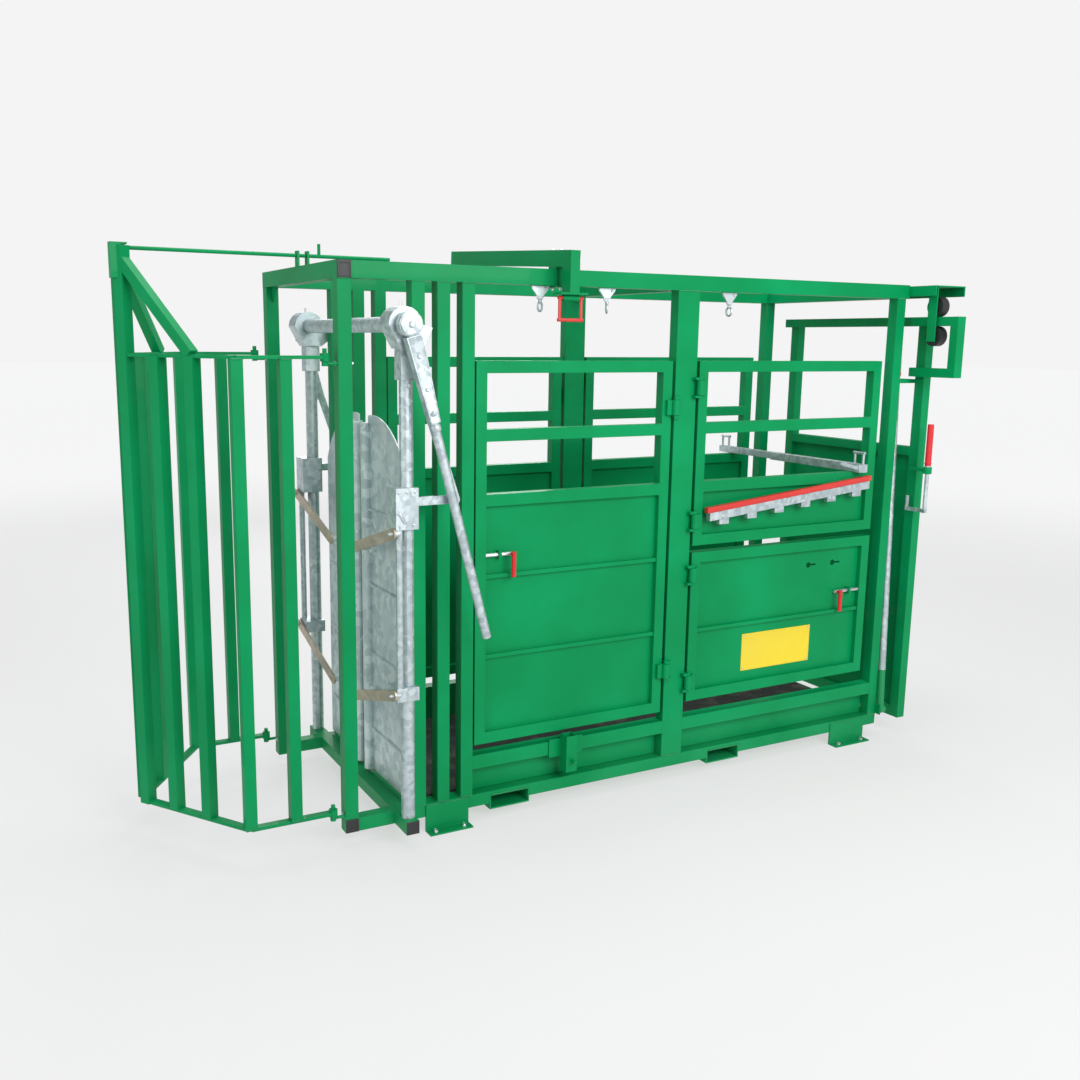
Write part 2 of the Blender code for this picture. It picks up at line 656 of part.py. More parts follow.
def crank_eye():
    """The strap on the near stile whose round eye carries the latch crank."""
    eye = rod((CRANK_X, CRANK_Y, CRANK_EYE_Z[0]), (CRANK_X, CRANK_Y, CRANK_EYE_Z[1]), 0.019, 16)
    middle = sum(CRANK_EYE_Z) / 2
    strap_z = (middle - 0.007, middle + 0.007)
    arm = box((CRANK_X - 0.010, CRANK_X + 0.010), (CRANK_Y + 0.014, GATE_Y[0] + 0.020), strap_z)
    foot_x = (CRANK_X - 0.010, GATE_STILE_X[0] + 0.003)
    return [eye, arm, box(foot_x, (GATE_Y[0] + 0.002, GATE_Y[0] + 0.020), strap_z)]


def latch_crank():
    """A crank that turns in the strap's eye, its red grip resting on the eye."""
    low = CRANK_ARM_Z
    seat = CRANK_EYE_Z[1] + GAP
    arm_x = (CRANK_X - 0.008, CRANK_X + 0.008)
    pieces = [
        rod((CRANK_X, CRANK_Y, low), (CRANK_X, CRANK_Y, CRANK_GRIP_TOP - 0.010), CRANK_ROD_RADIUS),
        box(arm_x, (CRANK_Y - 0.008, CRANK_ARM_END), (low - 0.008, low + 0.008)),
        box(arm_x, (CRANK_ARM_END - 0.008, CRANK_ARM_END), (low, low + 0.060)),
        rod((CRANK_X, CRANK_Y, seat), (CRANK_X, CRANK_Y, seat + 0.006), 0.015),
    ]
    pivot = (CRANK_X, CRANK_Y, low)
    node("latch_crank", GALVANISED, pieces, (), pivot)
    grip = rod((CRANK_X, CRANK_Y, seat + 0.006 + GAP), (CRANK_X, CRANK_Y, CRANK_GRIP_TOP), 0.014, 14)
    hole = rod((CRANK_X, CRANK_Y, 1), (CRANK_X, CRANK_Y, CRANK_GRIP_TOP - 0.008), bore_radius(CRANK_ROD_RADIUS, 12))
    node("latch_grip", RED, [grip], [hole], pivot)


def gate_lever():
    """The long hand lever of the rear gate, with its hub on the pin at the rear post's foot."""
    foot = Vector((GATE_LEVER_X, *GATE_LEVER_FOOT))
    head = Vector((GATE_LEVER_X, *GATE_LEVER_HEAD))
    way = (head - foot).normalized()
    grip_at = foot + way * (GATE_GRIP_FROM - foot.z) / way.z
    half = GATE_LEVER_RADIUS
    tube = rod(foot, grip_at, GATE_LEVER_RADIUS, 16)
    hub = rod(foot - Vector((half, 0, 0)), foot + Vector((half, 0, 0)), 0.021, 16)
    core = rod(grip_at - way * 0.02, head - way * 0.012, 0.011)
    hole = rod(foot - Vector((0.1, 0, 0)), foot + Vector((0.1, 0, 0)), bore_radius(AXLE_RADIUS, 12))
    node("gate_lever", GALVANISED, [tube, hub, core], [hole], foot)
    grip = rod(grip_at + way * GAP, head, 0.0185, 16)
    inner = rod(grip_at - way * 0.1, head - way * 0.010, bore_radius(0.011, 12))
    node("gate_lever_grip", RED, [grip], [inner], foot)


def door_frame(side, x, z, rails):
    """Stiles and rails of square tube, flush with the frame's outer face."""
    y = (HALF - DOOR_TUBE, HALF)
    pieces = [slab(side, (end, end + DOOR_TUBE), y, z) for end in (x[0], x[1] - DOOR_TUBE)]
    for low in rails:
        pieces.append(slab(side, x, y, (low, low + DOOR_TUBE)))
    return pieces


def panel(side, x, z, ribs=()):
    """A recessed sheet with level ribs on its outer face."""
    face = HALF - PANEL_RECESS
    inset = DOOR_TUBE / 2
    span = (x[0] + inset, x[1] - inset)
    pieces = [slab(side, span, (face - SHEET, face), (z[0] + 0.005, z[1] - 0.005))]
    for level in ribs:
        pieces.append(slab(side, span, (face - SHEET / 2, face + RIB), (level, level + RIB)))
    return pieces


def door(name, side, x, z, rails, sheet_z, ribs, hinge, extra=(), extra_cuts=()):
    """One side door from its frame, sheet, ribs and hinge knuckles."""
    pieces = door_frame(side, x, z, rails) + panel(side, x, sheet_z, ribs)
    cuts = list(extra_cuts)
    leaf_x = x[1] - 0.030 if hinge > x[1] else x[0] + 0.030
    for level in hinge_heights(z):
        knuckle_pieces, holes = knuckle(side, hinge, level, leaf_x)
        pieces += knuckle_pieces
        cuts += holes
    pivot = (hinge, side * HINGE_Y, z[0])
    node(name, GREEN, pieces + list(extra), cuts, pivot)


def bolt_guide(side, x, z):
    """The block on the sheet that the inner end of a slide bolt runs through."""
    face = HALF - PANEL_RECESS
    y = side * (HALF - DOOR_TUBE / 2 + 0.012)
    block = slab(side, (x - 0.006, x + 0.006), (face - SHEET / 2, abs(y) + 0.014), (z - 0.014, z + 0.014))
    return block, y


def bolt_way(y, x, z):
    return rod((x[0], y, z), (x[1], y, z), bore_radius(BOLT_RADIUS, 12))


def slide_bolt(name, side, tip_x, end_x, z):
    """A round bolt through the stile with its red grip hanging from the inner end."""
    way = 1 if end_x > tip_x else -1
    y = side * (HALF - DOOR_TUBE / 2 + 0.012)
    out = y + side * 0.030
    grip_x = end_x - way * 0.011
    pieces = [
        rod((tip_x, y, z), (end_x, y, z), BOLT_RADIUS),
        rod((grip_x, y, z), (grip_x, out, z), BOLT_RADIUS * 0.75, 10),
        rod((grip_x, out, z + 0.012), (grip_x, out, z - 0.085), BOLT_GRIP_RADIUS, 14),
    ]
    node(name, RED, pieces, (), (tip_x, y, z))


def front_doors():
    z = FRONT_DOOR_Z
    rails = (z[0], PANEL_TOP - DOOR_TUBE, MID_RAIL_Z, z[1] - DOOR_TUBE)
    sheet_z = (z[0], PANEL_TOP)
    x = FRONT_DOOR_X
    for name, side in SIDES.items():
        guide, y = bolt_guide(side, x[0] + 0.105, FRONT_BOLT_Z)
        way = bolt_way(y, (x[0] - 0.1, x[0] + 0.2), FRONT_BOLT_Z)
        ribs = (0.652, 0.967)
        door(name + "_front_door", side, x, z, rails, sheet_z, ribs, front_hinge_x(), [guide], [way])
    slide_bolt("left_front_bolt", LEFT, x[0] + 0.001, x[0] + 0.165, FRONT_BOLT_Z)


def keyhole(side, x, z):
    """A keyhole slot through the sheet: a round eye with a level slit."""
    y = side * (HALF - PANEL_RECESS)
    eye = rod((x, y - 0.01, z), (x, y + 0.01, z), 0.013)
    slit = box((x, x + 0.045), (y - 0.01, y + 0.01), (z - 0.004, z + 0.004))
    return [eye, slit]


def rear_doors():
    x = REAR_DOOR_X
    upper, lower = UPPER_DOOR_Z, LOWER_DOOR_Z
    upper_rails = (upper[0], PANEL_TOP - DOOR_TUBE, MID_RAIL_Z, upper[1] - DOOR_TUBE)
    lower_rails = (lower[0], lower[1] - DOOR_TUBE)
    for name, side in SIDES.items():
        hinge = rear_hinge_x()
        door(name + "_upper_door", side, x, upper, upper_rails, (upper[0], PANEL_TOP), (), hinge)
        guide, y = bolt_guide(side, x[1] - 0.105, LOWER_BOLT_Z)
        way = bolt_way(y, (x[1] - 0.2, x[1] + 0.1), LOWER_BOLT_Z)
        holes = [way] + keyhole(side, x[1] - 0.345, KEYHOLE_Z) + keyhole(side, x[1] - 0.200, KEYHOLE_Z)
        door(name + "_lower_door", side, x, lower, lower_rails, lower, (0.640,), hinge, [guide], holes)
    slide_bolt("left_lower_bolt", LEFT, x[1] - 0.001, x[1] - 0.190, LOWER_BOLT_Z)


def head_upright(name, side):
    """A round upright with the bearing housing of the torsion tube on its neck."""
    y = side * UPRIGHT_Y
    neck_top = HOUSING_Z[0] + 0.020
    pieces = [
        rod((UPRIGHT_X, y, RAIL_HIGH + GAP), (UPRIGHT_X, y, neck_top), UPRIGHT_RADIUS, 16),
        slab(side, (UPRIGHT_X - 0.030, UPRIGHT_X + 0.030), (UPRIGHT_Y - 0.030, UPRIGHT_Y + 0.030), (UPRIGHT_TOP, neck_top)),
        prism(housing_outline(), (side * HOUSING_Y[0], side * HOUSING_Y[1]), along_y),
    ]
    hole = rod((TORSION_X, -1, TORSION_Z), (TORSION_X, 1, TORSION_Z), bore_radius(TORSION_RADIUS, 20), 20)
    node(name + "_gate_upright", GALVANISED, pieces, [hole])


def housing_outline():
    """The housing seen from the side: round over the torsion tube, drawn in towards the neck."""
    top, low = HOUSING_Z[1], HOUSING_Z[0]
    front, back = HOUSING_X
    round_radius = top - TORSION_Z
    points = []
    for step in range(9):
        turn = math.pi * (1 - step / 8)
        points.append((TORSION_X + round_radius * math.cos(turn), TORSION_Z + round_radius * math.sin(turn)))
    points[0] = (min(points[0][0], front), TORSION_Z)
    points += [(back, TORSION_Z - 0.010), (back - 0.020, low + 0.020), (UPRIGHT_X + 0.035, low)]
    points += [(UPRIGHT_X - 0.035, low)]
    return points


def torsion_tube():
    """The cross tube that ties both sides together, with the crank of the right side."""
    span = (-TORSION_HALF, TORSION_HALF - 0.020)
    tube = rod((TORSION_X, span[0], TORSION_Z), (TORSION_X, span[1], TORSION_Z), TORSION_RADIUS, 20)
    pin_x, pin_z = lever_point(LEVER_PIN_AT)
    crank_y = (STRAP_Y[1] + 0.004, STRAP_Y[1] + 0.012)
    middle = sum(crank_y) / 2
    crank = beam((TORSION_X, middle, TORSION_Z), (pin_x, middle, pin_z), crank_y[1] - crank_y[0], 0.036, (1, 0, 0.3))
    end = rod((pin_x, crank_y[0], pin_z), (pin_x, crank_y[1], pin_z), 0.018, 16)
    hub = rod((TORSION_X, crank_y[0], TORSION_Z), (TORSION_X, crank_y[1], TORSION_Z), 0.038, 16)
    pin = rod((pin_x, crank_y[1], pin_z), (pin_x, STRAP_Y[0] - 0.001, pin_z), LINK_PIN_RADIUS)
    node("torsion_tube", GALVANISED, [tube, crank, end, hub, pin], (), (TORSION_X, 0, TORSION_Z))


def lever_point(reach):
    """The point of the resting hand lever that lies this far from the torsion tube's axis."""
    return (TORSION_X + reach * math.sin(LEVER_LEAN), TORSION_Z - reach * math.cos(LEVER_LEAN))


def hand_lever():
    """The head gate's hand lever, clamped on the left end of the torsion tube."""
    y = -LEVER_Y
    end_x, end_z = lever_point(LEVER_LENGTH)
    pin_x, pin_z = lever_point(LEVER_PIN_AT)
    half = LEVER_RADIUS
    pieces = [
        rod((TORSION_X, y, TORSION_Z), (end_x, y, end_z), LEVER_RADIUS, 16),
        rod((TORSION_X, y - half, TORSION_Z), (TORSION_X, y + half, TORSION_Z), 0.043, 20),
        rod((pin_x, y, pin_z), (pin_x, -STRAP_Y[0] + 0.001, pin_z), LINK_PIN_RADIUS),
        rod((pin_x, y, pin_z), (pin_x, -STRAP_Y[1] - 0.001, pin_z), 0.014),
    ]
    hole = rod((TORSION_X, -1, TORSION_Z), (TORSION_X, 0, TORSION_Z), TORSION_RADIUS + 2 * GAP, 20)
    node("hand_lever", GALVANISED, pieces, [hole], (TORSION_X, y, TORSION_Z))


def slot_outline(start, end, half):
    """A flat bar with round ends between two points."""
    start, end = Vector(start), Vector(end)
    way = math.atan2((end - start).y, (end - start).x)
    points = []
    for centre, turn in ((end, way), (start, way + math.pi)):
        for step in range(7):
            angle = turn + math.pi * (step / 6 - 0.5)
            points.append((centre.x + half * math.cos(angle), centre.y + half * math.sin(angle)))
    return points


def strap(name, side):
    """The flat strap from the lever down to the carriage arm; its upper end turns on the lever's pin."""
    start = lever_point(LEVER_PIN_AT)
    end = (ARM_END_X, sum(ARM_Z) / 2)
    span = (side * STRAP_Y[0], side * STRAP_Y[1])
    bar = prism(slot_outline(start, end, STRAP_WIDTH / 2), span, along_y)
    hole = rod((start[0], -1, start[1]), (start[0], 1, start[1]), bore_radius(LINK_PIN_RADIUS, 12))
    node(name + "_lift_strap", GALVANISED, [bar], [hole], (start[0], side * STRAP_Y[0], start[1]))


def guide_shoe(side, z):
    """A block that rides on the upright, open to the rear where the head door passes."""
    block = slab(side, (CARRIAGE_FRONT, CARRIAGE_BACK), CARRIAGE_Y, z)
    y = side * UPRIGHT_Y
    radius = bore_radius(UPRIGHT_RADIUS, 16)
    hole = rod((UPRIGHT_X, y, 0), (UPRIGHT_X, y, 3), radius, 16)
    slot = slab(side, (UPRIGHT_X, CARRIAGE_BACK + 0.1), (UPRIGHT_Y - radius, UPRIGHT_Y + radius), (z[0] - 1, z[1] + 1))
    return block, [hole, slot]


def carriage(name, side):
    """Two guide shoes joined by the lift rod, with the arm for the strap and the link pins."""
    shoe, cuts = guide_shoe(side, CARRIAGE_Z)
    collar, _ = guide_shoe(side, COLLAR_Z)
    y = side * LIFT_ROD_Y
    arm_z = sum(ARM_Z) / 2
    pieces = [
        shoe,
        collar,
        rod((LIFT_ROD_X, y, COLLAR_Z[0] + 0.010), (LIFT_ROD_X, y, CARRIAGE_Z[1] - 0.010), LIFT_ROD_RADIUS),
        slab(side, (CARRIAGE_BACK - 0.020, ARM_END_X + 0.016), ARM_Y, ARM_Z),
        rod((ARM_END_X, side * ARM_Y[0], arm_z), (ARM_END_X, side * (STRAP_Y[0] - GAP), arm_z), LINK_PIN_RADIUS),
    ]
    outer_y, outer_z = LINK_OUTER
    for z in (outer_z, outer_z - LINK_DROP):
        pin_y = side * outer_y
        pieces.append(rod((LIFT_ROD_X, pin_y, z), (LINK_FRONT - 0.006, pin_y, z), LINK_PIN_RADIUS))
        pieces.append(rod((LIFT_ROD_X, pin_y, z), (LINK_BACK + GAP, pin_y, z), 0.014, 14))
    node(name + "_lift_carriage", GALVANISED, pieces, cuts, (UPRIGHT_X, side * UPRIGHT_Y, CARRIAGE_Z[0]))


def link(name, side, drop):
    """A flat link in the front plane; its outer end turns on the carriage's pin."""
    outer = (side * LINK_OUTER[0], LINK_OUTER[1] - drop)
    inner = (side * LINK_INNER[0], LINK_INNER[1] - drop)
    bar = prism(slot_outline(outer, inner, LINK_WIDTH / 2), (LINK_FRONT, LINK_BACK), along_x)
    hole = rod((0, *outer), (1, *outer), bore_radius(LINK_PIN_RADIUS, 12))
    node(name, GALVANISED, [bar], [hole], (LINK_FRONT, *outer))


def head_door_outline(side):
    """The sheet's outline in the cross plane: straight edges under an elliptical top."""
    inner, outer = HEAD_DOOR_EDGES
    middle, level = HEAD_ARC_CENTRE
    points = [(side * inner, HEAD_DOOR_BOTTOM), (side * outer, HEAD_DOOR_BOTTOM)]
    start = math.acos((outer - middle) / HEAD_ARC_HALF_WIDTH)
    end = math.acos((inner - middle) / HEAD_ARC_HALF_WIDTH)
    steps = 14
    for step in range(steps + 1):
        turn = start + (end - start) * step / steps
        y = middle + HEAD_ARC_HALF_WIDTH * math.cos(turn)
        points.append((side * y, level + HEAD_ARC_HEIGHT * math.sin(turn)))
    return points


def head_door(name, side):
    """A sliding half of the head gate with its neck tube, rungs and link studs."""
    sheet_x = (HEAD_SHEET_X, HEAD_SHEET_X + HEAD_SHEET)
    neck_y = side * HEAD_DOOR_EDGES[0]
    neck_top = HEAD_ARC_CENTRE[1] + HEAD_ARC_HEIGHT * 0.93
    pieces = [
        prism(head_door_outline(side), sheet_x, along_x),
        rod((NECK_TUBE_X, neck_y, HEAD_DOOR_BOTTOM), (NECK_TUBE_X, neck_y, neck_top), NECK_TUBE_RADIUS, 16),
    ]
    rung_x = HEAD_SHEET_X - RUNG_RADIUS / 3
    rung_end = side * (HEAD_DOOR_EDGES[1] - 0.030)
    for z in RUNGS:
        pieces.append(rod((rung_x, neck_y, z), (rung_x, rung_end, z), RUNG_RADIUS, 8))
    stud_y = side * LINK_INNER[0]
    for z in (LINK_INNER[1], LINK_INNER[1] - LINK_DROP):
        pieces.append(rod((LINK_BACK + GAP, stud_y, z), (HEAD_SHEET_X + 0.002, stud_y, z), 0.011, 14))
        pieces.append(rod((HEAD_SHEET_X - 0.020, stud_y, z), (HEAD_SHEET_X + 0.002, stud_y, z), 0.024, 16))
    node(name + "_head_door", SHEET_STEEL, pieces)


def oblique(side, reach):
    """A point on the oblique run of an exit gate, this far from its corner."""
    return Vector((EXIT_CORNER_X, side * EXIT_RUN_Y, 0)) + Vector((EXIT_RUN.x, -side * EXIT_RUN.y, 0)) * reach


def tip_reach():
    """How far along the oblique run the tip post stands, so that both tips just clear the middle."""
    half = EXIT_BAR / 2
    clear = EXIT_RUN_Y - LATCH_GAP - half * abs(EXIT_RUN.x)
    return clear / EXIT_RUN.y - half


def upright_bar(side, reach, z):
    """A square bar of the oblique run, turned square to it."""
    foot = oblique(side, reach)
    low, high = foot + Vector((0, 0, z[0])), foot + Vector((0, 0, z[1]))
    return beam(low, high, EXIT_BAR, EXIT_BAR, (EXIT_RUN.x, -side * EXIT_RUN.y, 0))


def exit_gate(name, side):
    """One half of the exit pen: upright bars between two flat bars, a tall tip post and its brace."""
    y = side * EXIT_RUN_Y
    pivot = (EXIT_PIVOT_X, y, EXIT_BOTTOM)
    half = EXIT_BAR / 2
    tip = tip_reach()
    levels = (EXIT_BOTTOM, EXIT_TOP)
    z = (EXIT_BOTTOM, EXIT_TOP)
    pieces = [upright_bar(side, reach, z) for reach in EXIT_OBLIQUE_AT]
    pieces.append(upright_bar(side, tip, (EXIT_BOTTOM - EXIT_FLAT / 2, EXIT_TIP_TOP)))
    for x in (EXIT_SIDE_BAR_X, EXIT_CORNER_X):
        pieces.append(box((x - half, x + half), (y - half, y + half), z))
    eyes = []
    for level in levels:
        low, high = level - 0.014 + GAP, level + 0.014
        lift = Vector((0, 0, level))
        pieces.append(box((EXIT_CORNER_X, EXIT_PIVOT_X - 0.010), (y - 0.015, y + 0.015), (level - EXIT_FLAT / 2, level + EXIT_FLAT / 2)))
        pieces.append(beam(oblique(side, 0) + lift, oblique(side, tip) + lift, 0.030, EXIT_FLAT))
        pieces.append(rod((EXIT_PIVOT_X, y, low), (EXIT_PIVOT_X, y, high), 0.016, 16))
        eyes.append(rod((EXIT_PIVOT_X, y, low - 0.01), (EXIT_PIVOT_X, y, high + 0.01), bore_radius(LINK_PIN_RADIUS, 12)))
    top = oblique(side, tip) + Vector((0, 0, EXIT_TIP_TOP - 0.045))
    seat = oblique(side, EXIT_OBLIQUE_AT[0]) + Vector((0, 0, EXIT_TOP + 0.006))
    pieces.append(beam(top, seat, 0.036, 0.036))
    if side == LEFT:
        pieces += latch_plate(oblique(side, tip))
    node(name + "_exit_gate", GREEN, pieces, eyes, pivot)


def latch_plate(tip):
    """The plate on the left tip post with the lip over it, beside the end of the latch rod."""
    front = EXIT_TIP_X - LATCH_PLATE_OUT
    y = (tip.y - 0.014, -LATCH_GAP)
    plate = box((front, tip.x), y, (EXIT_TIP_TOP - 0.110, EXIT_TIP_TOP + 0.010))
    lip = box((front, tip.x + 0.020), y, (EXIT_TIP_TOP + 0.004, EXIT_TIP_TOP + 0.010))
    return [plate, lip]


def latch_rod():
    """The long rod that locks both tips from the portal, with its upright hand pin."""
    z = LATCH_ROD_Z
    start, end = LATCH_ROD_X
    pin_x = TUBE + 0.040
    pieces = [
        rod((start, 0, z), (end, 0, z), LATCH_ROD_RADIUS),
        rod((pin_x, 0, z), (pin_x, 0, z + 0.045), 0.006),
    ]
    node("exit_latch_rod", GREEN, pieces, (), (0, 0, z))


def rack_outline(z, depth):
    """A bar that rises to the rear, seen from the side."""
    (start, end), (low, high) = RACK_X, z
    return [(start, low), (end, high), (end, high + depth), (start, low + depth)]


def rack_slope():
    return (RACK_Z[1] - RACK_Z[0]) / (RACK_X[1] - RACK_X[0])


def rack(name, side):
    """The toothed rail on the upper door's sheet that the rump bar is moved along."""
    face = HALF + GAP
    y = (side * (face + 0.004), side * (face + 0.004 + RACK_DEPTH))
    pieces = [prism(rack_outline(RACK_Z, RACK_BAR), y, along_y)]
    pitch = (RACK_X[1] - RACK_X[0]) / TEETH
    for tooth in range(TEETH):
        x = RACK_X[0] + pitch * (tooth + 0.35)
        z = RACK_Z[0] + (x - RACK_X[0]) * rack_slope()
        pieces.append(slab(side, (x, x + TOOTH[0]), (face + 0.008, face + 0.030), (z - TOOTH[1], z + 0.015)))
    for x in (RACK_X[0] + 0.020, RACK_X[1] - 0.060):
        z = RACK_Z[0] + (x - RACK_X[0]) * rack_slope()
        pieces.append(slab(side, (x, x + 0.040), (HALF - PANEL_RECESS + GAP, face + 0.010), (z + 0.004, z + 0.026)))
    node(name + "_rack", GALVANISED, pieces)


def rack_strip():
    """The red strip fixed along the top of the left rack."""
    half = STRIP_SIZE / 2
    y = LEFT * (HALF + 0.004 + RACK_DEPTH / 2)
    lift = RACK_BAR + GAP + half / math.cos(math.atan(rack_slope()))
    ends = []
    for x in (RACK_X[0] - 0.010, RACK_X[1] + 0.015):
        ends.append((x, y, RACK_Z[0] + (x - RACK_X[0]) * rack_slope() + lift))
    node("left_rack_strip", RED, [beam(*ends, STRIP_SIZE, STRIP_SIZE)], (), ends[0])


def rump_bar():
    """The telescopic cross bar on the sheets of both upper doors, with a D-handle at each end."""
    low = PANEL_TOP + RUMP_LIFT
    half = RUMP_TUBE / 2
    z = (low, low + RUMP_TUBE)
    x = (RUMP_X - half, RUMP_X + half)
    pieces = [
        box(x, (-RUMP_HALF, RUMP_HALF * 0.2), z),
        box((x[0] + 0.004, x[1] - 0.004), (RUMP_HALF * 0.15, RUMP_HALF), (z[0] + 0.004, z[1])),
    ]
    for side in (LEFT, RIGHT):
        end_y = side * (RUMP_HALF - 0.060)
        top = z[1] + 0.050
        for y in (end_y, end_y + side * 0.050):
            pieces.append(rod((RUMP_X, y, z[1] - 0.005), (RUMP_X, y, top), D_ROD_RADIUS * 0.85, 10))
        grip = (end_y - side * 0.008, end_y + side * 0.058)
        pieces.append(rod((RUMP_X, grip[0], top), (RUMP_X, grip[1], top), D_ROD_RADIUS))
    pieces += rump_handle(x[0] + 0.002, z)
    node("rump_bar", GALVANISED, pieces, (), (RUMP_X, 0, z[0]))


def rump_handle(back, z):
    """The locking handle in front of the rump bar's left end."""
    y = -(RUMP_HALF - 0.020)
    middle = sum(z) / 2
    return [
        box((back - 0.012, back), (y - 0.016, y + 0.016), z),
        beam((back - 0.004, y, middle), (back - 0.110, y, middle + 0.028), 0.010, 0.016),
    ]


def boom():
    """The hoof boom over both top rails, its near end clamped to the left rail and dropped outside."""
    x = sum(BOOM_X) / 2
    width = BOOM_X[1] - BOOM_X[0]
    slope = (BOOM_FAR_Z - BOOM_NEAR_Z) / (HALF - BOOM_REACH)
    half = BOOM_HEIGHT / 2
    pieces = [beam((x, BOOM_REACH, BOOM_NEAR_Z), (x, HALF, BOOM_FAR_Z), width, BOOM_HEIGHT)]
    for side in (LEFT, RIGHT):
        middle = BOOM_NEAR_Z + (side * (HALF - TUBE / 2) - BOOM_REACH) * slope
        pieces.append(slab(side, BOOM_X, (INNER, HALF), (TOP_HIGH + GAP, middle)))
    for y in (HALF + CLAMP_BOLT_RADIUS + GAP, INNER - CLAMP_BOLT_RADIUS - GAP):
        pieces.append(rod((x, -y, TOP_LOW - 0.010), (x, -y, TOP_HIGH + half), CLAMP_BOLT_RADIUS, 8))
    plate_y = (INNER - 0.016, HALF + 0.016)
    pieces.append(slab(LEFT, BOOM_X, plate_y, (TOP_LOW - GAP - FOOT_PLATE, TOP_LOW - GAP)))
    drop_y = (abs(BOOM_REACH) - 0.060, abs(BOOM_REACH))
    pieces.append(slab(LEFT, BOOM_X, drop_y, (BOOM_DROP, BOOM_NEAR_Z)))
    lip_x = (x - 0.058, x + 0.058)
    pieces.append(slab(LEFT, lip_x, drop_y, (BOOM_DROP - FOOT_PLATE, BOOM_DROP + 0.002)))
    sleeve_y = -sum(drop_y) / 2
    sleeve_z = bail_z()
    hole = bore_radius(BAIL_ROD_RADIUS, 12)
    sleeve_end = BAIL_HALF - 0.012
    pieces.append(rod((x - sleeve_end, sleeve_y, sleeve_z), (x + sleeve_end, sleeve_y, sleeve_z), hole + 0.004, 12))
    way = rod((0, sleeve_y, sleeve_z), (2, sleeve_y, sleeve_z), hole, 12)
    node("hoof_boom", GREEN, pieces, [way])
    bail(x, sleeve_y, sleeve_z)


def bail_z():
    """The height of the bail's axis under the boom's lip plate."""
    return BOOM_DROP - FOOT_PLATE - bore_radius(BAIL_ROD_RADIUS, 12) - 0.003


def bail(x, y, z):
    """The red hanging loop whose top bar turns in the sleeve."""
    low = z - BAIL_DROP
    ends = (x - BAIL_HALF, x + BAIL_HALF)
    reach = BAIL_ROD_RADIUS * 1.1
    side_radius = BAIL_ROD_RADIUS * 0.9
    pieces = [rod((ends[0] - reach, y, level), (ends[1] + reach, y, level), BAIL_ROD_RADIUS) for level in (z, low)]
    for end in ends:
        pieces.append(rod((end, y, low), (end, y, z), side_radius, 10))
    node("boom_bail", RED, pieces, (), (x, y, z))


def build_frame():
    for name, side in SIDES.items():
        bottom_rail(name, side)
        kick_rail(name, side)
        top_rail(name, side)
        front_post(name, side)
        centre_post(name, side)
        rear_post(name, side)
    front_base()
    front_beam()
    cross_beams()
    floor()
    fork_tube("front_fork_tube", FRONT_FORK_X)
    fork_tube("rear_fork_tube", REAR_FORK_X)
    hoof_socket()
    boom()


def build_head_gate():
    torsion_tube()
    hand_lever()
    for name, side in SIDES.items():
        head_upright(name, side)
        carriage(name, side)
        strap(name, side)
        head_door(name, side)
        link(name + "_upper_link", side, 0)
        link(name + "_lower_link", side, LINK_DROP)


def build_gates():
    for name, side in SIDES.items():
        exit_gate(name, side)
        rack(name, side)
    latch_rod()
    front_doors()
    rear_doors()
    rack_strip()
    rump_bar()
    track_housing()
    rollers()
    rear_gate()
    latch_crank()
    gate_lever()


clear_scene()
ROOT = make_root()
build_frame()
build_head_gate()
build_gates()
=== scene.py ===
"""Finishes, fittings, light and camera for the cattle crush."""

import math

import bpy
from mathutils import Matrix, Vector


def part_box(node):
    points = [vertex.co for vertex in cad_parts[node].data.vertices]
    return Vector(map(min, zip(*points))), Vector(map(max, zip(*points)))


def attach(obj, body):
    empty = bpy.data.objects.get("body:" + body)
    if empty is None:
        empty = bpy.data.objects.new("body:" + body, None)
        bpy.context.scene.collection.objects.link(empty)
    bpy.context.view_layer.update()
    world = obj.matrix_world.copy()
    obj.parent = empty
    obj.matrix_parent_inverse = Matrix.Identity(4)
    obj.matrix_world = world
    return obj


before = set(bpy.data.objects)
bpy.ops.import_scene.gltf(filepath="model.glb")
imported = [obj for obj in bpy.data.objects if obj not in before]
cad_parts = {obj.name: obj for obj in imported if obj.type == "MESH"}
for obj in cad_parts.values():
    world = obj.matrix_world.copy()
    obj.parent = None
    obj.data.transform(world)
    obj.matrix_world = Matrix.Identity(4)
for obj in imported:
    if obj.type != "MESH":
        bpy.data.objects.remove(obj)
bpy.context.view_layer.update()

LEFT, RIGHT = -1, 1
SIDES = {"left": LEFT, "right": RIGHT}
UP, DOWN = (0, 0, 1), (0, 0, -1)
REARWARD, FORWARD = (1, 0, 0), (-1, 0, 0)
TO_THE_LEFT = (0, LEFT, 0)

# The drawing counts x from the front portal, y from the middle and z from the ground.
portal_low, portal_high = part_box("front_top_beam")
ORIGIN = Vector((portal_low.x, (portal_low.y + portal_high.y) / 2, 0.0))


def at(x, y, z):
    """A point of the drawing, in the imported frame."""
    return Vector((x, y, z)) + ORIGIN


def corners(node):
    """A node's lowest and highest corners, on the drawing."""
    low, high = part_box(node)
    return low - ORIGIN, high - ORIGIN


def centre_of(node):
    """The middle of a node's box, on the drawing."""
    low, high = corners(node)
    return (low + high) / 2


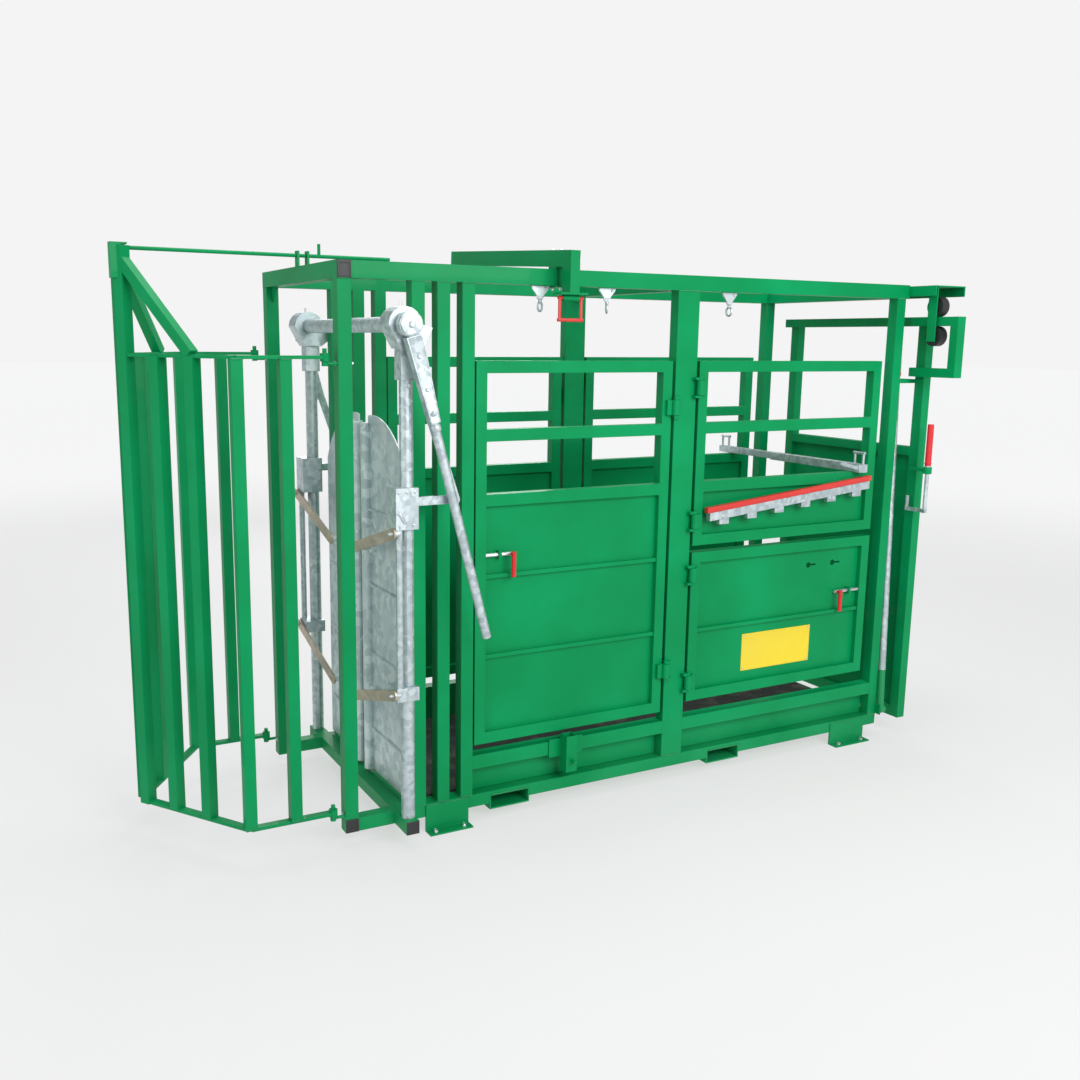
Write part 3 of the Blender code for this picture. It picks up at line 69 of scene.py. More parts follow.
# Tubes and rails, read from the frame
TUBE = portal_high.x - portal_low.x
HALF = (portal_high.y - portal_low.y) / 2
INNER = HALF - TUBE
MIDDLE = HALF - TUBE / 2
FRAME_LENGTH = corners("left_bottom_rail")[1].x
RAIL_HIGH = corners("front_base_frame")[1].z
HEAD_GATE_HALF = corners("front_base_frame")[1].y
BASE_MIDDLE = centre_of("front_base_frame").z
TOP_LOW = corners("centre_top_beam")[0].z
TOP_MIDDLE = centre_of("centre_top_beam").z
BOOM_X = centre_of("hoof_boom").x

# Places on the frame where fittings go, in metres
BARS_X = (0.272, 0.3705, 0.469)
CENTRE_POST_X = 1.420
CENTRE_POST_WIDTH = 0.105
FEET_X = ((0.320, 0.500), (2.390, 2.600))
FOOT_BOLTS_X = (0.350, 0.470, 2.425, 2.565)
FOOT_BOLT_Y = HALF + 0.029
FOOT_PLATE = 0.0060
CLAMP_PLATE_Z = 2.0537
HANGERS_X = (0.801, 1.097, CENTRE_POST_X + 0.275)
HANGER_HOLE_Z = 2.028

# Doors and exit gates
DOOR_TUBE = 0.045
DOOR_RAILS_Z = (1.245, 1.488)
FRONT_DOOR_X = (0.526, 1.405)
UPPER_DOOR_X = (1.540, 2.560)
EXIT_GATE_Y = HALF - 0.010
EXIT_BAR = 0.040
EXIT_BARS_X = (-0.186, -0.350)
EXIT_WELDS_Z = (0.1535, 1.7885)
EYE_BOLTS_Z = (0.126, 1.774)
SIGN_X = (1.850, 2.245)
SIGN_Z = (0.428, 0.596)
SIGN_FACE_Y = -0.4352

# The head gate's hand lever and the rear gate's
LEVER_AXIS_X = 0.200
LEVER_AXIS_Z = 1.908
LEVER_LEAN = math.radians(15)
GATE_LEVER_X = FRAME_LENGTH + 0.020

# Weld beads
WELD_RISE = 0.0005
WELD_MARGIN = 0.004
RIPPLES = 10
RIPPLE_PITCH = 0.0045
RIPPLE_RUN = RIPPLES * RIPPLE_PITCH


# Shader maths

class Term:
    """A socket that takes part in arithmetic."""

    def __init__(self, finish, socket):
        self.finish, self.socket = finish, socket

    def math(self, operation, *terms):
        node = self.finish.add("ShaderNodeMath", {"operation": operation}, dict(enumerate(terms)))
        return Term(self.finish, node.outputs[0])

    def __add__(self, other):
        return self.math("ADD", self, other)

    __radd__ = __add__

    def __sub__(self, other):
        return self.math("SUBTRACT", self, other)

    def __rsub__(self, other):
        return self.math("SUBTRACT", other, self)

    def __mul__(self, other):
        return self.math("MULTIPLY", self, other)

    __rmul__ = __mul__

    def __pow__(self, other):
        return self.math("POWER", self, other)


class Finish:
    """A material in the making, with patterns on the piece's own Object coordinates."""

    def __init__(self, name):
        self.material = bpy.data.materials.new(name)
        self.material.use_nodes = True
        self.tree = self.material.node_tree
        self.shader = self.tree.nodes["Principled BSDF"]
        self.place = self.add("ShaderNodeTexCoord").outputs["Object"]
        parts = self.add("ShaderNodeSeparateXYZ", {}, {"Vector": self.place})
        self.x, self.y, self.z = [Term(self, socket) for socket in parts.outputs]

    def add(self, kind, settings=None, sockets=None):
        """A node of this type: its settings first, then the values or links of its sockets."""
        node = self.tree.nodes.new(kind)
        for key, value in (settings or {}).items():
            setattr(node, key, value)
        for key, value in (sockets or {}).items():
            self.feed(node.inputs[key], value)
        return node

    def feed(self, socket, value):
        """A link or a constant for one socket."""
        if isinstance(value, Term):
            value = value.socket
        if isinstance(value, bpy.types.NodeSocket):
            self.tree.links.new(value, socket)
        elif socket.type == "RGBA":
            socket.default_value = (*value, 1.0)
        else:
            socket.default_value = value

    def noise(self, scale, detail=3.0, rough=0.55, stretch=None):
        place = self.place
        if stretch:
            place = self.add("ShaderNodeMapping", {}, {"Vector": place, "Scale": stretch}).outputs[0]
        sockets = {"Vector": place, "Scale": scale, "Detail": detail, "Roughness": rough}
        return Term(self, self.add("ShaderNodeTexNoise", {}, sockets).outputs["Fac"])

    def cells(self, scale, randomness=1.0):
        sockets = {"Vector": self.place, "Scale": scale, "Randomness": randomness}
        return self.add("ShaderNodeTexVoronoi", {}, sockets)

    def band(self, value, low, high):
        """0 below low, 1 above high, and smooth between them."""
        settings = {"interpolation_type": "SMOOTHSTEP"}
        sockets = {"Value": value, "From Min": low, "From Max": high}
        return Term(self, self.add("ShaderNodeMapRange", settings, sockets).outputs[0])

    def mix(self, factor, first, second):
        """A blend of two colours."""
        sockets = {0: factor, 6: first, 7: second}
        return self.add("ShaderNodeMix", {"data_type": "RGBA"}, sockets).outputs[2]

    def rounded(self, radius):
        """The normal of edges eased to this radius."""
        return self.add("ShaderNodeBevel", {"samples": 4}, {"Radius": radius}).outputs[0]

    def edge(self, normal):
        """1 on the eased edges and 0 on flat faces."""
        flat = self.add("ShaderNodeNewGeometry").outputs["True Normal"]
        dot = self.add("ShaderNodeVectorMath", {"operation": "DOT_PRODUCT"}, {0: normal, 1: flat})
        return self.band(1.0 - Term(self, dot.outputs["Value"]), 0.02, 0.22)

    def finish(self, colour, roughness, bump=None, depth=0.001, normal=None, metallic=0.0, coat=0.0):
        """Connects what the pattern gives to the shader."""
        if bump is not None:
            sockets = {"Height": bump, "Distance": depth, "Strength": 0.6}
            if normal is not None:
                sockets["Normal"] = normal
            normal = self.add("ShaderNodeBump", {}, sockets).outputs[0]
        values = {"Base Color": colour, "Roughness": roughness, "Metallic": metallic, "Coat Weight": coat}
        if normal is not None:
            values["Normal"] = normal
        for key, value in values.items():
            self.feed(self.shader.inputs[key], value)
        return self.material


# Finishes

LUG_START_X, LUG_TOP_Z = -0.45, 2.0590
GREEN_FOOT_Z = 0.330
DUST_Z = 0.34
ALONG_Z = (1.0, 1.0, 0.25)
DRIPS = (1.0, 1.0, 0.12)
DRAWN_ALONG_Y = (1.0, 0.12, 1.0)
SOFT_ZINC = ((0.400, 0.475, 0.500), (0.620, 0.690, 0.710))
SHEET_ZINC = ((0.460, 0.560, 0.580), (0.700, 0.780, 0.790))


def green_powder_coat(name, with_lugs=False):
    """Glossy green powder coat: orange peel, dust low down, rubbed edges, and zinc on a rail's lugs."""
    deep, bright, rubbed = (0.000, 0.222, 0.066), (0.000, 0.272, 0.088), (0.010, 0.380, 0.140)
    dusty, scuffed, lug_zinc = (0.230, 0.260, 0.190), (0.170, 0.300, 0.210), (0.580, 0.650, 0.670)
    f = Finish(name)
    f.shader.inputs["Specular IOR Level"].default_value = 0.10
    cloud = f.noise(2.2, 4.0)
    fine = f.noise(38.0)
    eased = f.rounded(0.0035)
    edge = f.edge(eased)
    base = f.mix(f.band(cloud, 0.35, 0.70), deep, bright)
    base = f.mix(edge * 0.30, base, rubbed)
    dust = f.band(DUST_Z - f.z, 0.0, DUST_Z) * f.band(cloud, 0.30, 0.80) * 0.06
    base = f.mix(dust, base, dusty)
    scuffs = f.band(f.noise(14.0, 5.0, 0.7, ALONG_Z), 0.66, 0.74) * edge
    base = f.mix(scuffs * 0.55, base, scuffed)
    metal = 0.0
    if with_lugs:
        metal = f.band(LUG_TOP_Z - f.z, 0.0, 0.0005) * f.band(f.x - LUG_START_X, 0.0, 0.01) * 0.8
        base = f.mix(metal * 1.25, base, lug_zinc)
    peel = f.noise(420.0, 2.0)
    rough = 0.38 + cloud * 0.10 + dust * 0.8
    return f.finish(base, rough, peel * 0.5 + fine * 0.5, 0.0005, eased, metal, 0.05)


def hot_dip_zinc(name, grain, tones, metal=0.86, with_green_foot=False):
    """Hot-dip galvanising: spangled grains, runs and a dulled grey bloom, and a green foot if wanted."""
    bloom, run_grey, worn = (0.440, 0.520, 0.550), (0.600, 0.670, 0.690), (0.720, 0.770, 0.790)
    green = (0.000, 0.235, 0.072)
    f = Finish(name)
    tone = Term(f, f.cells(grain).outputs["Color"])
    cloud = f.noise(5.0, 5.0)
    runs = f.noise(9.0, 4.0, 0.6, DRIPS)
    eased = f.rounded(0.0025)
    base = f.mix(f.band(tone, 0.15, 0.85), *tones)
    base = f.mix(f.band(cloud, 0.42, 0.68) * 0.45, base, bloom)
    base = f.mix(f.band(runs, 0.55, 0.72) * 0.35, base, run_grey)
    base = f.mix(f.edge(eased) * 0.35, base, worn)
    if with_green_foot:
        coated = f.band(GREEN_FOOT_Z - f.z, 0.0, 0.0010)
        base = f.mix(coated, base, green)
        metal = (1.0 - coated) * metal
    rough = 0.36 + tone * 0.14 + cloud * 0.14
    lumps = runs * 0.6 + f.noise(60.0, 2.0) * 0.4
    return f.finish(base, rough, lumps, 0.0004, eased, metal)


def bright_zinc():
    """Plated fasteners: bright zinc with a slight blue cast."""
    f = Finish("bright_zinc")
    haze = f.noise(90.0)
    base = f.mix(haze, (0.560, 0.600, 0.640), (0.760, 0.790, 0.820))
    return f.finish(base, 0.22 + haze * 0.20, haze, 0.0003, f.rounded(0.0008), 0.95)


def links_with_painted_warm_shade():
    """Flat links in warm tan: the tan is painted shade and warm reflection, with drawn streaks over it.
    """
    dark, light, shine = (0.360, 0.310, 0.240), (0.520, 0.440, 0.330), (0.600, 0.560, 0.480)
    f = Finish("links_with_painted_warm_shade")
    cloud = f.noise(16.0, 4.0)
    drawn = f.noise(60.0, 3.0, 0.6, DRAWN_ALONG_Y)
    # The dark and light tan tones are painted shade and warm reflection on the links.
    base = f.mix(f.band(cloud, 0.35, 0.68), dark, light)
    base = f.mix(f.band(drawn, 0.50, 0.70) * 0.4, base, shine)
    return f.finish(base, 0.32 + cloud * 0.2, drawn, 0.0005, f.rounded(0.0015), 0.75)


def red_grip():
    """Moulded red handle sleeves."""
    f = Finish("red_grip")
    cloud = f.noise(30.0)
    grain = f.noise(500.0, 2.0)
    base = f.mix(cloud, (0.560, 0.006, 0.012), (0.700, 0.014, 0.022))
    return f.finish(base, 0.34 + cloud * 0.14, grain, 0.0004, f.rounded(0.0012), coat=0.15)


def red_lacquer():
    """Red paint on working edges, worn towards steel where pieces rub."""
    f = Finish("red_lacquer")
    cloud = f.noise(24.0, 5.0, 0.65)
    eased = f.rounded(0.0012)
    worn = f.band(cloud + f.edge(eased) * 0.20, 0.66, 0.74)
    base = f.mix(f.noise(6.0), (0.520, 0.018, 0.016), (0.640, 0.040, 0.030))
    base = f.mix(worn, base, (0.360, 0.340, 0.330))
    return f.finish(base, 0.38 + worn * 0.15, worn * -1.0, 0.0004, eased, worn * 0.8, 0.1)


def bolt_finish():
    """Slide bolts: plated rod with the hanging handle dipped red."""
    f = Finish("bolt_zinc_and_red")
    dipped = f.band(-1.0 * f.y, 0.412, 0.416)
    haze = f.noise(70.0)
    zinc = f.mix(haze, (0.560, 0.600, 0.620), (0.740, 0.770, 0.790))
    red = f.mix(haze, (0.560, 0.008, 0.012), (0.680, 0.018, 0.022))
    base = f.mix(dipped, zinc, red)
    return f.finish(base, 0.30 + haze * 0.14, haze, 0.0003, f.rounded(0.001), (1.0 - dipped) * 0.9)


def black_plastic():
    """Black moulded caps and rollers with a fine spark-eroded grain."""
    f = Finish("black_plastic")
    grain = f.noise(650.0, 2.0)
    base = f.mix(f.noise(18.0), (0.010, 0.011, 0.012), (0.026, 0.027, 0.028))
    return f.finish(base, 0.42 + grain * 0.18, grain, 0.0003, f.rounded(0.0015))


def mat_rubber():
    """The floor mat: hammered round studs in black rubber with dry dust between them."""
    f = Finish("mat_rubber")
    studs = Term(f, f.cells(46.0, 0.25).outputs["Distance"])
    dome = f.band(0.45 - studs, 0.0, 0.22)
    dust = f.noise(12.0, 5.0)
    dusty = f.band(dust, 0.45, 0.75) * (1.0 - dome) * 0.6
    base = f.mix(dusty, (0.016, 0.017, 0.016), (0.130, 0.120, 0.100))
    return f.finish(base, 0.62 + dust * 0.2, dome, 0.0030)


def yellow_plate():
    """A plain yellow sign plate."""
    f = Finish("yellow_plate")
    cloud = f.noise(22.0)
    base = f.mix(cloud, (0.720, 0.540, 0.010), (0.780, 0.610, 0.016))
    return f.finish(base, 0.30 + cloud * 0.12, cloud, 0.0003, f.rounded(0.001), coat=0.3)


def weld_metal():
    """Weld beads under the green coat."""
    f = Finish("coated_weld")
    ripple = f.noise(240.0)
    base = f.mix(ripple, (0.000, 0.180, 0.052), (0.002, 0.250, 0.080))
    return f.finish(base, 0.32 + ripple * 0.12, ripple, 0.0008, coat=0.2)


GREEN = green_powder_coat("green_powder_coat")
HANGER_RAIL = green_powder_coat("green_rail_with_zinc_lugs", with_lugs=True)
ZINC = hot_dip_zinc("hot_dip_zinc", 55.0, SOFT_ZINC)
ZINC_SHEET = hot_dip_zinc("spangled_sheet", 34.0, SHEET_ZINC, metal=0.62)
ZINC_LEVER = hot_dip_zinc("zinc_lever_with_green_foot", 55.0, SOFT_ZINC, with_green_foot=True)
PLATED = bright_zinc()
LINK = links_with_painted_warm_shade()
GRIP = red_grip()
RED = red_lacquer()
BOLT = bolt_finish()
BLACK = black_plastic()
RUBBER = mat_rubber()
YELLOW = yellow_plate()
WELD = weld_metal()

SPECIAL = {
    "floor_mat": RUBBER, "upper_roller": BLACK, "lower_roller": BLACK,
    "boom_bail": RED, "left_rack_strip": RED, "gate_lever_grip": GRIP, "latch_grip": GRIP,
    "left_front_bolt": BOLT, "left_lower_bolt": BOLT,
    "left_top_rail": HANGER_RAIL, "gate_lever": ZINC_LEVER,
}
ZINC_WORDS = ("upright", "carriage", "strap", "torsion", "hand_lever", "rump_bar", "latch_crank")


def finish_of(node):
    if node in SPECIAL:
        return SPECIAL[node]
    if "head_door" in node:
        return ZINC_SHEET
    if node.endswith("_link"):
        return LINK
    if node.endswith("_rack") or any(word in node for word in ZINC_WORDS):
        return ZINC
    return GREEN


for node_name, node_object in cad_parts.items():
    for material_slot in node_object.material_slots:
        material_slot.material = finish_of(node_name)


# Modelling

SMOOTH_BELOW = math.radians(40)


def select(items):
    """These objects selected and no others, with the first one active."""
    bpy.ops.object.select_all(action="DESELECT")
    for item in items:
        item.select_set(True)
    bpy.context.view_layer.objects.active = items[0]


def settle(obj):
    """The object's place goes into its mesh."""
    select([obj])
    bpy.ops.object.transform_apply(location=True, rotation=True, scale=True)
    return obj


def select_faces(obj, chosen):
    """In edit mode, with only the faces that chosen() accepts selected."""
    bpy.context.view_layer.objects.active = obj
    bpy.ops.object.mode_set(mode="EDIT")
    bpy.ops.mesh.select_mode(type="FACE")
    bpy.ops.mesh.select_all(action="DESELECT")
    bpy.ops.object.mode_set(mode="OBJECT")
    for face in obj.data.polygons:
        face.select = bool(chosen(face))
    bpy.ops.object.mode_set(mode="EDIT")


def modify(obj, kind, **settings):
    """Adds a modifier and applies it."""
    select([obj])
    modifier = obj.modifiers.new(kind.lower(), kind)
    for key, value in settings.items():
        setattr(modifier, key, value)
    bpy.ops.object.modifier_apply(modifier=modifier.name)
    return obj


def soften(obj, width, segments=2):
    """Rounds the sharp edges."""
    return modify(obj, "BEVEL", width=width, segments=segments, limit_method="ANGLE")


def block(low, high):
    """A block between two corners."""
    low, high = Vector(low), Vector(high)
    bpy.ops.mesh.primitive_cube_add(size=1.0, location=(low + high) / 2, scale=high - low)
    return settle(bpy.context.object)


def turned(radius, depth, sides, base=0.0):
    """A round or hexagonal blank standing on z = base."""
    middle = (0, 0, base + depth / 2)
    bpy.ops.mesh.primitive_cylinder_add(vertices=sides, radius=radius, depth=depth, location=middle)
    return settle(bpy.context.object)


def raise_face(obj, normal, steps):
    """Insets and then extrudes the face that looks along normal, once for each pair of measures."""
    normal = Vector(normal)
    select_faces(obj, lambda face: face.normal.dot(normal) > 0.99)
    for inset, lift in steps:
        bpy.ops.mesh.inset(thickness=inset, depth=0.0)
        if lift:
            bpy.ops.mesh.extrude_region_move(TRANSFORM_OT_translate={"value": normal * lift})
    bpy.ops.object.mode_set(mode="OBJECT")
    return obj


def ring(radius, rod, sides, rod_sides=8):
    bpy.ops.mesh.primitive_torus_add(
        major_radius=radius, minor_radius=rod, major_segments=sides, minor_segments=rod_sides
    )
    return settle(bpy.context.object)


def together(items):
    """Joins items into the first of them."""
    select(items)
    if len(items) > 1:
        bpy.ops.object.join()
    return items[0]


def moved(obj, matrix):
    obj.data.transform(matrix)
    obj.data.update()
    return obj


def facing(way, spin=0.0):
    """Turns +Z to look along way."""
    turn = Vector(UP).rotation_difference(Vector(way)).to_matrix().to_4x4()
    return turn @ Matrix.Rotation(spin, 4, "Z")


def stand(obj, place, way=UP):
    """Moves what was made at the origin to place, looking along way."""
    return moved(obj, Matrix.Translation(place) @ facing(way))


def put(model, place, way=UP, size=1.0, spin=0.0):
    """A copy of a model, with its own mesh, standing at place and looking along way."""
    made = model.copy()
    made.data = model.data.copy()
    bpy.context.scene.collection.objects.link(made)
    scale = size if isinstance(size, tuple) else (size,) * 3
    return moved(made, Matrix.Translation(place) @ facing(way, spin) @ Matrix.Diagonal((*scale, 1.0)))


def piece(name, items, body, material):
    """Joins items into one piece that rides on a body."""
    made = together(items)
    made.name = name
    made.data.name = name
    made.data.materials.clear()
    made.data.materials.append(material)
    select([made])
    bpy.ops.object.shade_smooth_by_angle(angle=SMOOTH_BELOW)
    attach(made, body)


# Fittings that are used again and again

def washer():
    return soften(turned(radius=0.0105, depth=0.002, sides=24), 0.0004, segments=1)


def bolt_model():
    """An M10 hexagon head, chamfered and dished, on its washer."""
    head = turned(radius=0.0092, depth=0.0055, sides=6, base=0.002)
    raise_face(head, UP, ((0.0012, 0.0009), (0.0022, -0.0004)))
    return together([washer(), head])


def nut_model():
    """A nut on its washer with the thread's end standing out."""
    nut = turned(radius=0.0092, depth=0.0070, sides=6, base=0.002)
    raise_face(nut, UP, ((0.0010, 0.0008),))
    thread = turned(radius=0.0049, depth=0.0050, sides=14, base=0.0092)
    raise_face(thread, UP, ((0.0008, 0.0006),))
    return together([washer(), nut, thread])


def bead_model():
    """A run of ten ripples of a weld bead along X, with the origin in its middle."""
    half_long, half_wide, half_high = 0.0036, 0.0034, 0.0030
    bpy.ops.mesh.primitive_uv_sphere_add(segments=8, ring_count=6, radius=1.0)
    ripple = settle(bpy.context.object)
    moved(ripple, Matrix.Diagonal((half_long, half_wide, half_high, 1.0)))
    settings = {"count": RIPPLES, "use_relative_offset": False, "use_constant_offset": True}
    modify(ripple, "ARRAY", constant_offset_displace=(RIPPLE_PITCH, 0, 0), **settings)
    return moved(ripple, Matrix.Translation((-RIPPLE_PITCH * (RIPPLES - 1) / 2, 0, 0)))


def plug_model():
    """A tube plug: flange with eased rim and a shallow domed middle, looking along +Z."""
    plug = block((-TUBE / 2, -TUBE / 2, 0.0), (TUBE / 2, TUBE / 2, 0.0028))
    raise_face(plug, UP, ((0.0022, 0.0010), (0.0060, -0.0012), (0.0030, 0.0)))
    return soften(plug, 0.0007)


def rib_model():
    """A ring of radius 1 for the grips."""
    return modify(ring(radius=1.0, rod=0.075, sides=20, rod_sides=6), "WELD", merge_threshold=0.0001)


BOLT_HEAD = bolt_model()
NUT = nut_model()
BEAD = bead_model()
PLUG = plug_model()
RIB = rib_model()


# Weld beads

def bead(start, end):
    """Beads laid from start to end, in whole runs of ten ripples."""
    run = end - start
    count = max(1, round(run.length / RIPPLE_RUN))
    step = run / count
    turn = Vector((1, 0, 0)).rotation_difference(run).to_matrix().to_4x4()
    made = []
    for index in range(count):
        copy = put(BEAD, (0, 0, 0), size=(step.length / RIPPLE_RUN, 1.0, 1.0))
        made.append(moved(copy, Matrix.Translation(start + step * (index + 0.5)) @ turn))
    return made


def post_welds(x0, x1, side, z):
    """Beads on the outer, the rear and the front face of a post. The portal has none in front."""
    outer, inner = side * (HALF - WELD_MARGIN), side * (INNER + WELD_MARGIN)
    made = bead(at(x0 + WELD_MARGIN, side * HALF, z), at(x1 - WELD_MARGIN, side * HALF, z))
    made += bead(at(x1, outer, z), at(x1, inner, z))
    if x0 > 0:
        made += bead(at(x0, outer, z), at(x0, inner, z))
    return made


def rail_seam(x0, x1, side, z):
    """A bead along the outer face of a bottom rail."""
    y = side * (HALF + WELD_RISE)
    return bead(at(x0, y, z), at(x1, y, z))


def frame_welds():
    """Round the feet and heads of the posts and bars, and over the fork tubes and foot plates."""
    posts = [(0.0, TUBE)]
    posts += [(x, x + TUBE) for x in BARS_X]
    posts += [(CENTRE_POST_X, CENTRE_POST_X + CENTRE_POST_WIDTH), (FRAME_LENGTH - TUBE, FRAME_LENGTH)]
    post_foot_z, post_head_z = RAIL_HIGH + WELD_RISE, TOP_LOW - 0.0003
    fork_margin, foot_z = 0.006, 0.1040
    made = []
    for side in (LEFT, RIGHT):
        for x0, x1 in posts:
            if x0 > 0:
                made += post_welds(x0, x1, side, post_foot_z)
            made += post_welds(x0, x1, side, post_head_z)
        for node in ("front_fork_tube", "rear_fork_tube"):
            low, high = corners(node)
            made += rail_seam(low.x + fork_margin, high.x - fork_margin, side, high.z)
        for x0, x1 in FEET_X:
            made += rail_seam(x0 + WELD_MARGIN, x1 - WELD_MARGIN, side, foot_z)
    piece("frame_welds", made, "frame", WELD)


def door_welds(body, side, x0, x1):
    """Beads in the inner corners where the rails of a door meet its stiles."""
    margin = 0.003
    near, far = side * (HALF - margin), side * (HALF - DOOR_TUBE + margin)
    made = []
    for rail_z in DOOR_RAILS_Z:
        for edge in (x0 + DOOR_TUBE, x1 - DOOR_TUBE):
            for z in (rail_z, rail_z + DOOR_TUBE):
                made += bead(at(edge, near, z), at(edge, far, z))
    piece(body + "_welds", made, body, WELD)


def exit_gate_welds(body, side):
    """Beads at the heads and feet of the two middle bars of an exit gate."""
    y, face = side * EXIT_GATE_Y, EXIT_BAR / 2 + WELD_RISE
    half_wide, half_deep = 0.018, 0.013
    made = []
    for x in EXIT_BARS_X:
        for z in EXIT_WELDS_Z:
            made += bead(at(x - half_wide, y + side * face, z), at(x + half_wide, y + side * face, z))
            made += bead(at(x + face, y - half_deep, z), at(x + face, y + half_deep, z))
    piece(body + "_welds", made, body, WELD)


frame_welds()
for side_name, side in SIDES.items():
    door_welds(side_name + "_front_door", side, *FRONT_DOOR_X)
    door_welds(side_name + "_upper_door", side, *UPPER_DOOR_X)
    exit_gate_welds(side_name + "_exit_gate", side)


# Fasteners

def frame_bolts():
    """Bolts of the foot plates, nuts and heads of the exit gates' eye bolts and of the boom clamp."""
    portal_front, portal_rear = -0.0002, TUBE + 0.0003
    eye_size, clamp_size = 0.85, 0.72
    clamp_bolts = ((-HALF - 0.0045, 2.1880), (-INNER + 0.0045, 2.1915))
    made = []
    for side in (LEFT, RIGHT):
        y = side * MIDDLE
        for x in FOOT_BOLTS_X:
            made.append(put(BOLT_HEAD, at(x, side * FOOT_BOLT_Y, FOOT_PLATE), spin=0.3))
        for z in EYE_BOLTS_Z:
            made.append(put(NUT, at(portal_rear, y, z), REARWARD, size=eye_size, spin=0.2))
            made.append(put(BOLT_HEAD, at(portal_front, y, z), FORWARD, size=eye_size, spin=0.4))
    for y, top in clamp_bolts:
        made.append(put(NUT, at(BOOM_X, y, CLAMP_PLATE_Z), DOWN, size=clamp_size, spin=0.1))
        made.append(put(BOLT_HEAD, at(BOOM_X, y, top), size=clamp_size, spin=0.5))
    piece("frame_bolts", made, "frame", PLATED)


def housing_bolts():
    """Two bolts, a set screw and a grease nipple on each bearing housing."""
    bolts = ((0.176, 1.852), (0.262, 1.872))
    upright_x, screw_y, screw_z = 0.219, 0.555, 1.700
    nipple_y, nipple_z = 0.525, 1.9675
    made = []
    for side in (LEFT, RIGHT):
        out = (0, side, 0)
        for x, z in bolts:
            made.append(put(BOLT_HEAD, at(x, side * HEAD_GATE_HALF, z), out, size=0.80, spin=x * 9))
        made.append(put(BOLT_HEAD, at(upright_x, side * screw_y, screw_z), out, size=0.70, spin=0.4))
        nipple = turned(radius=0.0042, depth=0.010, sides=12)
        raise_face(nipple, UP, ((0.0014, 0.0040), (-0.0008, 0.0030)))
        made.append(stand(nipple, at(LEVER_AXIS_X, side * nipple_y, nipple_z)))
    piece("housing_bolts", made, "frame", PLATED)


def carriage_fittings(body, side):
    """The guide plate's bolt heads, the link pins' nuts and the spring pin across the shoe."""
    out, pin_way = (0, side, 0), (0.6, 0, -1)
    plate_y, shoe_y, link_y = side * 0.572, side * 0.574, side * 0.560
    upper_row, upper_z = (0.172, 0.203, 0.234), 1.334
    lower_row, lower_z = (0.176, 0.228), 1.216
    pin_x, pin_z = 0.172, 1.262
    link_pins_x, link_pins_z = 0.1437, (1.190, 0.600)
    made = []
    for x in upper_row:
        made.append(put(BOLT_HEAD, at(x, plate_y, upper_z), out, size=0.58, spin=x * 30))
    for x in lower_row:
        made.append(put(BOLT_HEAD, at(x, plate_y, lower_z), out, size=0.58, spin=x * 20))
    pin = soften(turned(radius=0.0050, depth=0.044, sides=14), 0.0012)
    made.append(stand(pin, at(pin_x, shoe_y, pin_z), pin_way))
    for z in link_pins_z:
        made.append(put(NUT, at(link_pins_x, link_y, z), FORWARD, size=0.62, spin=0.3))
    piece(body + "_fittings", made, body, PLATED)


def lever_channel(top, way):
    """The folded channel over the lever's upper third: wide at the hub, drawn in past the strap's pin."""
    half_wide, start, end = 0.030, 0.040, 0.345
    channel = block((-half_wide, -0.0205, start), (half_wide, 0.0170, end))
    select_faces(channel, lambda face: face.normal.z > 0.99)
    bpy.ops.transform.resize(value=(0.62, 0.95, 1.0), center_override=(0, -0.002, end))
    bpy.ops.object.mode_set(mode="OBJECT")
    raise_face(channel, TO_THE_LEFT, ((0.0045, -0.0018),))
    soften(channel, 0.0016)
    inward = Vector((0, 1, 0))
    turn = Matrix((inward.cross(way), inward, way)).transposed().to_4x4()
    moved(channel, Matrix.Translation(top) @ turn)
    piece("lever_channel", [channel], "lever_shaft", ZINC)


def lever_fittings():
    """The hub's end cap and bolt, the strap pin's nut, the collar and the bolts of the channel."""
    lever_y, hub_y, cap_y = -0.605, -0.6220, -0.6275
    pin_reach, collar_reach, bolt_reaches = 0.310, 0.352, (0.110, 0.225)
    nut_step, bolt_step = Vector((0, -0.0186, 0)), Vector((0, -0.0188, 0))
    way = Vector((math.sin(LEVER_LEAN), 0, -math.cos(LEVER_LEAN)))
    top = at(LEVER_AXIS_X, lever_y, LEVER_AXIS_Z)
    hub = soften(turned(radius=0.040, depth=0.006, sides=28), 0.0025, segments=3)
    items = [stand(hub, at(LEVER_AXIS_X, hub_y, LEVER_AXIS_Z), TO_THE_LEFT)]
    items.append(put(BOLT_HEAD, at(LEVER_AXIS_X, cap_y, LEVER_AXIS_Z), TO_THE_LEFT, size=1.25))
    items.append(put(NUT, top + way * pin_reach + nut_step, TO_THE_LEFT, spin=0.4))
    collar = soften(turned(radius=0.0205, depth=0.022, sides=24), 0.0022)
    items.append(stand(collar, top + way * collar_reach, way))
    for reach in bolt_reaches:
        items.append(put(BOLT_HEAD, top + way * reach + bolt_step, TO_THE_LEFT, size=0.80, spin=reach))
    piece("lever_fittings", items, "lever_shaft", ZINC)
    lever_channel(top, way)


